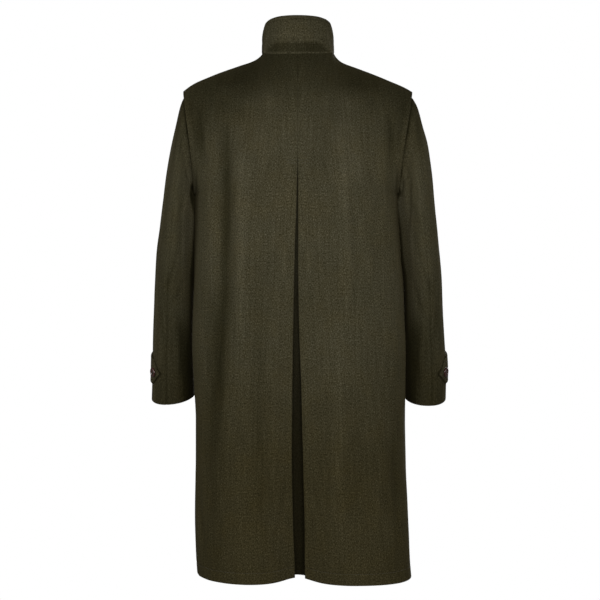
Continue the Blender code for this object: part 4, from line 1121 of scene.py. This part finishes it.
# %% Sleeve pieces
HINDARM_SEAM_ANGLE, FOREARM_SEAM_ANGLE = 79, -80
SEAM_DIP, SEAM_DIP_DEGREES, SEAM_SHADE = 0.9 * MM, 2.2, 2.4
SEAM_OVERLAP_DEGREES = 0.25
sleeve_pieces = {}
for label, (points, normals, relief) in sleeve_surfaces.items():
    side = 1 if label == "left" else -1
    for part, first, last in (("top", FOREARM_SEAM_ANGLE, HINDARM_SEAM_ANGLE),
                              ("under", HINDARM_SEAM_ANGLE, 360 + FOREARM_SEAM_ANGLE)):
        angles = np.concatenate([[first - SEAM_OVERLAP_DEGREES, first + 0.8],
                                 np.linspace(first + 2.2, last - 2.2, 50),
                                 [last - 0.8, last + SEAM_OVERLAP_DEGREES]])
        near_seam = np.minimum(angles - first, last - angles)
        dip = SEAM_DIP * hump(near_seam, 0.0, SEAM_DIP_DEGREES)
        grid = read_ring(points, angles) - read_ring(normals, angles) * dip[:, None]
        outward = (side, 0, 0) if part == "top" else (-side, 0, 0)
        name = f"sleeve_{part}_{label}"
        shade = read_ring(relief, angles) - SEAM_SHADE * dip / SEAM_DIP
        sleeve_pieces[name] = cloth_piece(name + "_cloth", grid, LODEN, name, outward=outward,
                                          relief=shade)

# %% [markdown]
# ## Cuff tabs
# A pointed tab is sewn into the front sleeve seam, lies round the outside of the cuff and buttons
# near its point. It is two layers of cloth, turned and edge stitched, so it is thicker than the rest
# and its edge is round.

# %% Cuff tabs
TAB_SEAT = 0.8 * MM
TAB_THICKNESS = 3.3 * MM
TAB_STITCH_SINK = 0.5 * MM


def sleeve_place(label, angle, above_cuff):
    """A point on the sleeve and its normal, by the angle and the distance up from the cuff's edge."""
    points, normals = sleeve_surfaces[label][:2]
    line = points[:, int(round(angle)) % 360]
    row = len(points) - 1 - np.interp(above_cuff, line_lengths(line[::-1]), np.arange(len(points)))
    low = min(int(row), len(points) - 2)
    share = row - low
    near = [read_ring(values[low:low + 2], np.array([angle]))[:, 0] for values in (points, normals)]
    return (near[0][0] * (1 - share) + near[0][1] * share,
            unit(near[1][0] * (1 - share) + near[1][1] * share))


def tab_outline(label):
    """Angles round the sleeve, with the distance that is left from each to the tab's tip."""
    angles = np.concatenate([np.linspace(TAB_FRONT_ANGLE, 20, 30)[:-1],
                             np.linspace(20, TAB_BACK_ANGLE, 26)])
    line = np.array([sleeve_place(label, angle, TAB_HEIGHT_ABOVE_CUFF)[0] for angle in angles])
    to_tip = np.append(np.linalg.norm(np.diff(line, axis=0), axis=1)[::-1].cumsum()[::-1], 0.0)
    return angles, to_tip


def tab_half_width(left):
    """Half the tab's width where this much of its length is left before the tip."""
    return TAB_HALF_WIDTH * min(1.0, left / TAB_POINT_LENGTH * (1 - TAB_TIP_SHARE) + TAB_TIP_SHARE)


def tab_grid(label):
    angles, to_tip = tab_outline(label)
    shares = np.concatenate([[-1, -0.97], np.linspace(-0.9, 0.9, 17), [0.97, 1]])
    grid = np.zeros((len(shares), len(angles), 3))
    shade = np.zeros(grid.shape[:2])
    for j, (angle, left) in enumerate(zip(angles, to_tip)):
        half = tab_half_width(left)
        for i, share in enumerate(shares):
            point, normal = sleeve_place(label, angle, TAB_HEIGHT_ABOVE_CUFF + share * half)
            edge = min(half * (1 - abs(share)), left)
            stitched = hump(edge, TAB_STITCH_INSET, 1.5 * MM)
            grid[i, j] = point + normal * (TAB_SEAT + TAB_THICKNESS - TAB_STITCH_SINK * stitched)
            # Painted light on the tab's face, painted shade along its edges and its stitch line.
            shade[i, j] = TAB_FACE_SHADE - TAB_EDGE_SHADE * (hump(edge, 0.0, 1.2 * MM) + stitched)
    return grid, shade


tabs = {}
for label, side in (("left", 1), ("right", -1)):
    name = f"cuff_tab_{label}"
    grid, shade = tab_grid(label)
    tabs[label] = cloth_piece(name + "_cloth", grid, LODEN, name, thickness=TAB_THICKNESS,
                              edge=1.1 * MM, outward=(side, 0, 0), relief=shade)

# %% [markdown]
# ## Buttons
# The buttons are polished horn: a dished face inside a raised rim, with four holes. The profile is
# spun round its axis. The holes are cut with a Boolean, because the hole's wall shows, and a cross of
# thread goes through them.

# %% Button materials
DARK_HORN, PALE_HORN = (0.020, 0.007, 0.005, 1.0), (0.075, 0.017, 0.010, 1.0)
HORN_FLECK = (0.22, 0.09, 0.045, 1.0)
DARK_THREAD, PALE_THREAD = (0.020, 0.019, 0.011, 1.0), (0.060, 0.054, 0.034, 1.0)


def horn():
    finish = Finish("polished_horn", Roughness=0.22, Specular_IOR_Level=0.6, Coat_Weight=0.5,
                    Coat_Roughness=0.08)
    place = finish.object_place()
    grain = finish.noise(finish.stretched(place, (1.0, 1.0, 0.35)), 320.0, detail=4.0, distortion=1.2)
    flecks = finish.noise(place, 900.0, detail=2.0)
    body = finish.blend(finish.soften(grain, 0.35, 0.68), DARK_HORN, PALE_HORN)
    body = finish.blend(finish.soften(flecks, 0.62, 0.8, 0.0, 0.4), body, HORN_FLECK)
    finish.feed("Base Color", body)
    finish.feed("Roughness", finish.soften(grain, 0.3, 0.7, 0.16, 0.3))
    finish.feed("Normal", finish.bump(grain, 0.0002, 0.2))
    return finish.material


def thread():
    finish = Finish("sewing_thread", Roughness=0.7, Specular_IOR_Level=0.3, Sheen_Weight=0.2)
    place = finish.object_place()
    twist = finish.noise(place, 2600.0, detail=1.0)
    body = finish.blend(finish.soften(twist, 0.3, 0.7), DARK_THREAD, PALE_THREAD)
    finish.feed("Base Color", body)
    finish.feed("Normal", finish.bump(twist, 0.0002, 0.5))
    return finish.material


HORN = horn()
THREAD = thread()

# %% Button shape
BUTTON_PROFILE = ((0.0, 2.2), (0.3, 2.1), (0.52, 2.3), (0.64, 3.1), (0.76, 3.9), (0.88, 3.8),
                  (0.97, 3.1), (1.0, 2.2), (0.96, 1.2), (0.82, 0.4), (0.6, 0.1), (0.0, 0.0))
HOLE_OFFSET, HOLE_RADIUS, DRILL_LENGTH = 2.3 * MM, 0.95 * MM, 12 * MM
THREAD_RADIUS, STRAND_OFFSET = 0.42 * MM, 0.35 * MM
THREAD_SEAT, THREAD_ARCH, CROSSING_LIFT, THREAD_END_DROP = 2.3 * MM, 0.55 * MM, 0.25 * MM, 1.6 * MM


def spun_button():
    shape = bmesh.new()
    profile = [shape.verts.new((share * BUTTON_RADIUS, 0.0, height * MM))
               for share, height in BUTTON_PROFILE]
    edges = [shape.edges.new(pair) for pair in zip(profile[:-1], profile[1:])]
    bmesh.ops.spin(shape, geom=profile + edges, cent=(0, 0, 0), axis=(0, 0, 1), angle=2 * math.pi,
                   steps=48, use_merge=True)
    bmesh.ops.remove_doubles(shape, verts=shape.verts, dist=1e-6)
    bmesh.ops.recalc_face_normals(shape, faces=shape.faces)
    return shape


def mesh_object(name, shape, material=None):
    thing = bpy.data.objects.new(name, finished_mesh(name, shape, material))
    collection.objects.link(thing)
    return thing


def drilled_button_mesh():
    blank = mesh_object("button_blank", spun_button())
    drill = bmesh.new()
    for sx in (-1, 1):
        for sy in (-1, 1):
            bmesh.ops.create_cone(drill, cap_ends=True, segments=16, radius1=HOLE_RADIUS,
                                  radius2=HOLE_RADIUS, depth=DRILL_LENGTH,
                                  matrix=Matrix.Translation((sx * HOLE_OFFSET, sy * HOLE_OFFSET, 0)))
    drills = mesh_object("button_drills", drill)
    cut = blank.modifiers.new("holes", "BOOLEAN")
    cut.operation, cut.object, cut.solver = "DIFFERENCE", drills, "EXACT"
    evaluated = blank.evaluated_get(bpy.context.evaluated_depsgraph_get())
    mesh = bpy.data.meshes.new_from_object(evaluated)
    bpy.data.objects.remove(blank)
    bpy.data.objects.remove(drills)
    mesh.materials.clear()
    mesh.materials.append(HORN)
    return mesh


def thread_cross_mesh():
    """Two crossed loops of thread through the four holes."""
    shape = bmesh.new()
    for sign in (-1, 1):
        turn = Matrix.Rotation(math.atan2(sign, 1.0), 4, "Z") @ Matrix.Rotation(math.pi / 2, 4, "Y")
        for offset in (-STRAND_OFFSET, STRAND_OFFSET):
            start = np.array([-HOLE_OFFSET, -sign * HOLE_OFFSET])
            sideways = np.array([sign, 1.0]) / math.sqrt(2) * offset
            last_ring = None
            for t in np.linspace(-0.1, 1.1, 9):
                across = min(max(t, 0), 1)
                middle = start * (1 - 2 * across) + sideways
                lift = (THREAD_ARCH + CROSSING_LIFT * (sign > 0)) * math.sin(math.pi * across)
                lift += THREAD_SEAT - THREAD_END_DROP * (t < 0 or t > 1)
                ring = bmesh.ops.create_circle(
                    shape, segments=6, radius=THREAD_RADIUS,
                    matrix=Matrix.Translation((middle[0], middle[1], lift)) @ turn)
                edges = list({edge for vert in ring["verts"] for edge in vert.link_edges})
                if last_ring:
                    bmesh.ops.bridge_loops(shape, edges=last_ring + edges)
                last_ring = edges
    bmesh.ops.holes_fill(shape, edges=shape.edges)
    bmesh.ops.recalc_face_normals(shape, faces=shape.faces)
    return finished_mesh("button_thread", shape, THREAD)


button_mesh = drilled_button_mesh()
cross_mesh = thread_cross_mesh()
print("A button has", len(button_mesh.polygons), "faces; its thread has", len(cross_mesh.polygons))

# %% [markdown]
# ### Seating the buttons
# Each button sits on the outer face of the cloth that carries it, turned to lie along its normal.

# %% Place the buttons
CUFF_SEAT_GAP, CUFF_BUTTON_SPIN = 0.1 * MM, 0.3
FRONT_SEAT_GAP, FRONT_BUTTON_SPIN = 0.3 * MM, 0.2
FRONT_BUTTON_FIRST_Z, FRONT_BUTTON_STEP, FRONT_BUTTON_COUNT = -105 * MM, 128 * MM, 5


def seat_button(node, seat, normal, spin=0.0):
    up = np.array([0.0, 0.0, 1.0])
    side = unit(np.cross(up, normal))
    turn = Matrix([side, np.cross(normal, side), normal]).transposed().to_4x4()
    place = Matrix.Translation(seat) @ turn @ Matrix.Rotation(spin, 4, "Z")
    for name, source, slot_name, nodes in ((node + "_horn", button_mesh, "horn_button", [node]),
                                           (node + "_thread", cross_mesh, "loden", [])):
        mesh = source.copy()
        mesh.transform(place)
        finish_object(name, mesh, nodes)
        mesh.set_sharp_from_angle(angle=math.radians(45))


for label in ("left", "right"):
    point, normal = sleeve_place(label, TAB_BUTTON_ANGLE, TAB_HEIGHT_ABOVE_CUFF)
    seat = point + normal * (TAB_SEAT + TAB_THICKNESS + CUFF_SEAT_GAP)
    seat_button(f"cuff_button_{label}", seat, normal, CUFF_BUTTON_SPIN)

centre_line = front_strip[0][:, CENTRE_COLUMN]
reach = np.linspace(-BUTTON_RADIUS, BUTTON_RADIUS, 9)
button_places = []
for index in range(FRONT_BUTTON_COUNT):
    z = FRONT_BUTTON_FIRST_Z - FRONT_BUTTON_STEP * index
    under = np.array([(0.0, np.interp(z + step, centre_line[:, 2], centre_line[:, 1]), z + step)
                      for step in reach])
    along = under[-1] - under[0]
    normal = np.array([0.0, -along[2], along[1]]) / np.linalg.norm(along)
    seat = under[4] + normal * (max(np.dot(under - under[4], normal)) + FRONT_SEAT_GAP)
    seat_button(f"front_button_{index + 1}", seat, normal, FRONT_BUTTON_SPIN * index)
    button_places.append((under[4], normal))
print("Buttons placed:", 2 + FRONT_BUTTON_COUNT)

# %% [markdown]
# ## Stitching
# The machine stitches are real little shapes: each is a slim bead of thread that lies in the dip the
# seam pulls into the cloth. A row of them follows a line of points on the cloth.

# %% Stitch helper
STITCH_PITCH, STITCH_LENGTH, STITCH_THICKNESS = 3.6 * MM, 2.6 * MM, 0.38 * MM
LOOK_AHEAD = 0.1 * MM


def stitch_rows(name, lines):
    """One object of stitches along several lines, each line a list of points and of normals."""
    shape = bmesh.new()
    for points, normals in lines:
        lengths = line_lengths(points)
        places = np.arange(STITCH_PITCH / 2, lengths[-1], STITCH_PITCH)
        at = read_line(places, lengths, points)
        forwards = unit(read_line(places + LOOK_AHEAD, lengths, points) - at)
        for middle, forward, normal in zip(at, forwards, unit(read_line(places, lengths, normals))):
            if not np.any(forward):
                continue
            side = unit(np.cross(normal, forward))
            turn = Matrix([forward, side, np.cross(forward, side)]).transposed().to_4x4()
            size = Matrix.Diagonal((STITCH_LENGTH / 2, STITCH_THICKNESS, STITCH_THICKNESS, 1.0))
            bmesh.ops.create_icosphere(shape, subdivisions=1, radius=1.0,
                                       matrix=Matrix.Translation(middle) @ turn @ size)
    mesh = finished_mesh(name, shape, THREAD)
    finish_object(name, mesh, [])
    print(name, "has", len(mesh.polygons) // 20, "stitches")


# %% Stitch the hem
HEM_STITCH_ROW = int(np.argmin(np.abs(LEVELS - HEM_Z - HEM_STITCH_HEIGHT)))
HEM_STITCH_INSET = 2 * MM


def hem_line(cloth, side, near, last):
    """The hem's stitches from a distance off the centre line to the side seam, at the last column."""
    points, normals, lengths = [part[HEM_STITCH_ROW] for part in cloth[:3]]
    far = abs(cloth[2][HEM_STITCH_ROW + 1, last]) - HEM_STITCH_INSET
    distances = side * np.linspace(near, far, 160)
    return read_line(distances, lengths, points), unit(read_line(distances, lengths, normals))


hem_gap, hem_drift = pleat_opening(HEM_Z + HEM_STITCH_HEIGHT)
hem_lines = []
for side, last in ((1, -1), (-1, 0)):
    back_start = side * hem_drift + hem_gap / 2 + HEM_STITCH_INSET
    front_start = -FRONT_OVERLAP + 3 * MM if side > 0 else FRONT_OVERLAP
    hem_lines.append(hem_line(back_strip, side, back_start, last))
    hem_lines.append(hem_line(front_strip, side, front_start, last))
stitch_rows("hem_stitches", hem_lines)

# %% Stitch the collar, the pleat bar, the front edge and the tabs
COLLAR_THREAD_SINK = 0.3 * MM
BAR_HALF_LENGTH, BAR_DROP, BAR_SPACING, BAR_LIFT = 25 * MM, 4 * MM, 2.2 * MM, 0.1 * MM
TAB_THREAD_SINK = 0.3 * MM
collar_lines = []
for share, reach in ((COLLAR_EDGE_STITCH, 168),) + tuple((share, 58) for share in COLLAR_STAND_STITCHES):
    angles = np.linspace(-reach, reach, 140)
    line = collar_surface(np.array([share]), angles)[0]
    facing = unit(line * np.array([1, 1, 0]))
    collar_lines.append((line - facing * COLLAR_THREAD_SINK, facing))
stitch_rows("collar_stitches", collar_lines)

bar_lines = []
for lift in (0.0, -BAR_SPACING):
    row = int(np.argmin(np.abs(row_z - (PLEAT_TOP_Z - BAR_DROP + lift))))
    distances = np.linspace(-BAR_HALF_LENGTH, BAR_HALF_LENGTH, 30)
    places, facing, _ = read_strip(tuple(part[row:row + 1] for part in back_strip), distances[None])
    bar_lines.append((places[0] + np.array([0, 0, lift]) + facing[0] * BAR_LIFT, facing[0]))
stitch_rows("pleat_bar_stitches", bar_lines)

front_rows = np.arange(8, len(front_strip[0]) - 6)
edge_distance = np.full((len(front_rows), 1), -(FRONT_OVERLAP - FRONT_STITCH_INSET))
places, facing, _ = read_strip(tuple(part[front_rows] for part in front_strip), edge_distance)
stitch_rows("front_edge_stitches", [(places[:, 0], facing[:, 0])])

tab_lines = []
for label in ("left", "right"):
    angles, to_tip = tab_outline(label)
    keep = to_tip > TAB_STITCH_INSET + 1.5 * MM
    for edge_sign in (1, -1):
        line, facing = [], []
        for angle, left in zip(angles[keep], to_tip[keep]):
            half = max(tab_half_width(left) - TAB_STITCH_INSET, 0.0)
            point, normal = sleeve_place(label, angle, TAB_HEIGHT_ABOVE_CUFF + edge_sign * half)
            line.append(point + normal * (TAB_SEAT + TAB_THICKNESS - TAB_THREAD_SINK))
            facing.append(normal)
        tab_lines.append((np.array(line), np.array(facing)))
stitch_rows("cuff_tab_stitches", tab_lines)

# %% [markdown]
# ## Buttonholes
# The left front carries the close stitches of a worked buttonhole at each button, mostly hidden
# beneath it. The slit inside them isn't cut.

# %% Buttonholes
HOLE_HALF_LENGTH, HOLE_HALF_WIDTH, HOLE_SHIFT, HOLE_LIFT = 13 * MM, 1.3 * MM, 5 * MM, 0.1 * MM
hole_lines = []
turn = np.linspace(0, 2 * math.pi, 60)
sideways = np.array([1.0, 0.0, 0.0])
for middle, normal in button_places:
    upward = np.cross(normal, sideways)
    ring = (middle + np.outer(HOLE_HALF_LENGTH * np.cos(turn) + HOLE_SHIFT, sideways)
            + np.outer(HOLE_HALF_WIDTH * np.sin(turn), upward))
    hole_lines.append((ring + normal * HOLE_LIFT, np.tile(normal, (len(turn), 1))))
stitch_rows("buttonhole_stitches", hole_lines)

# %% [markdown]
# ## The cloth's cut sizes
# For each panel the flat size of the rectangle that it is cut from is worked out, a little more than
# its longest row and column, because those bend between the grid's points, and the area of the cut.

# %% Cut sizes
WIDTH_ALLOWANCE, LENGTH_ALLOWANCE, MOST_OF_SHEET = 1.02, 1.01, 0.999


def declare(piece):
    thing, size, area = piece
    width, length = size[0] * WIDTH_ALLOWANCE, size[1] * LENGTH_ALLOWANCE
    cut = min(area, MOST_OF_SHEET * width * length)


declare(panels["back_left"])
declare(panels["back_right"])
declare(panels["pleat_underlay"])
declare(panels["front_left"])
declare(panels["front_right"])
declare(panels["collar"])
for name, piece in sleeve_pieces.items():
    declare(piece)
for label, piece in tabs.items():
    declare(piece)

# %% [markdown]
# ## Studio
# The coat hangs in front of plain white, lit by a large soft light beside the camera. Little light
# comes from above, so the tops of the shoulders stay darker than the blades; painted shade on the
# shoulders darkens them further.

# %% Floor, world, lights and camera
def plain_white(name):
    material = bpy.data.materials.new(name)
    material.use_nodes = True
    tree = material.node_tree
    tree.nodes.clear()
    glow = tree.nodes.new("ShaderNodeEmission")
    glow.inputs["Strength"].default_value = 1.0
    out = tree.nodes.new("ShaderNodeOutputMaterial")
    tree.links.new(glow.outputs[0], out.inputs["Surface"])
    return material


FLOOR_Z, FLOOR_SIZE = -1.25, 8.0
floor_shape = bmesh.new()
bmesh.ops.create_grid(floor_shape, x_segments=1, y_segments=1, size=FLOOR_SIZE,
                      matrix=Matrix.Translation((0, 0, FLOOR_Z)))
floor = mesh_object("floor", floor_shape, plain_white("pale_floor"))
floor.visible_diffuse = floor.visible_glossy = floor.visible_shadow = False

world = bpy.data.worlds.new("studio")
bpy.context.scene.world = world
world.use_nodes = True
sky = world.node_tree
background = sky.nodes["Background"]
seen = sky.nodes.new("ShaderNodeLightPath")
level = sky.nodes.new("ShaderNodeMapRange")
WORLD_LIGHT = 0.10
level.inputs["To Min"].default_value = WORLD_LIGHT
level.inputs["To Max"].default_value = 1.0
sky.links.new(seen.outputs["Is Camera Ray"], level.inputs["Value"])
background.inputs["Color"].default_value = (1.0, 1.0, 1.0, 1.0)
sky.links.new(level.outputs[0], background.inputs["Strength"])


def soft_light(name, place, aim, size, power):
    data = bpy.data.lights.new(name, "AREA")
    data.shape, data.size, data.energy = "SQUARE", size, power
    thing = bpy.data.objects.new(name, data)
    turn = (Vector(aim) - Vector(place)).to_track_quat("-Z", "Y").to_matrix().to_4x4()
    thing.matrix_world = Matrix.Translation(place) @ turn
    thing.visible_camera = False
    collection.objects.link(thing)


for light in (
    ("key", (-0.08, 1.9, -0.22), (0.0, 0.0, -0.35), 1.0, 28),
    ("left_strip", (2.1, 0.75, -0.2), (0.2, 0.0, -0.4), 1.0, 13),
    ("right_strip", (-2.1, 0.7, -0.2), (-0.2, 0.0, -0.4), 1.0, 7),
    ("front_fill", (-0.5, -2.2, -0.15), (0.0, 0.0, -0.4), 1.5, 48),
):
    soft_light(*light)

CAMERA_X, CAMERA_DISTANCE, CAMERA_Z = -4.3 * MM, 2.8, -0.516
VIEW_WIDTH, SENSOR = 1.29, 36.0
lens = bpy.data.cameras.new("camera")
lens.sensor_width, lens.lens = SENSOR, SENSOR * CAMERA_DISTANCE / VIEW_WIDTH
camera = bpy.data.objects.new("camera", lens)
camera.location = (CAMERA_X, CAMERA_DISTANCE, CAMERA_Z)
camera.rotation_euler = (math.radians(90), 0.0, math.radians(180))
collection.objects.link(camera)
bpy.context.scene.camera = camera
bpy.context.scene.view_settings.view_transform = "Standard"
print("Camera lens", round(lens.lens, 1), "mm")
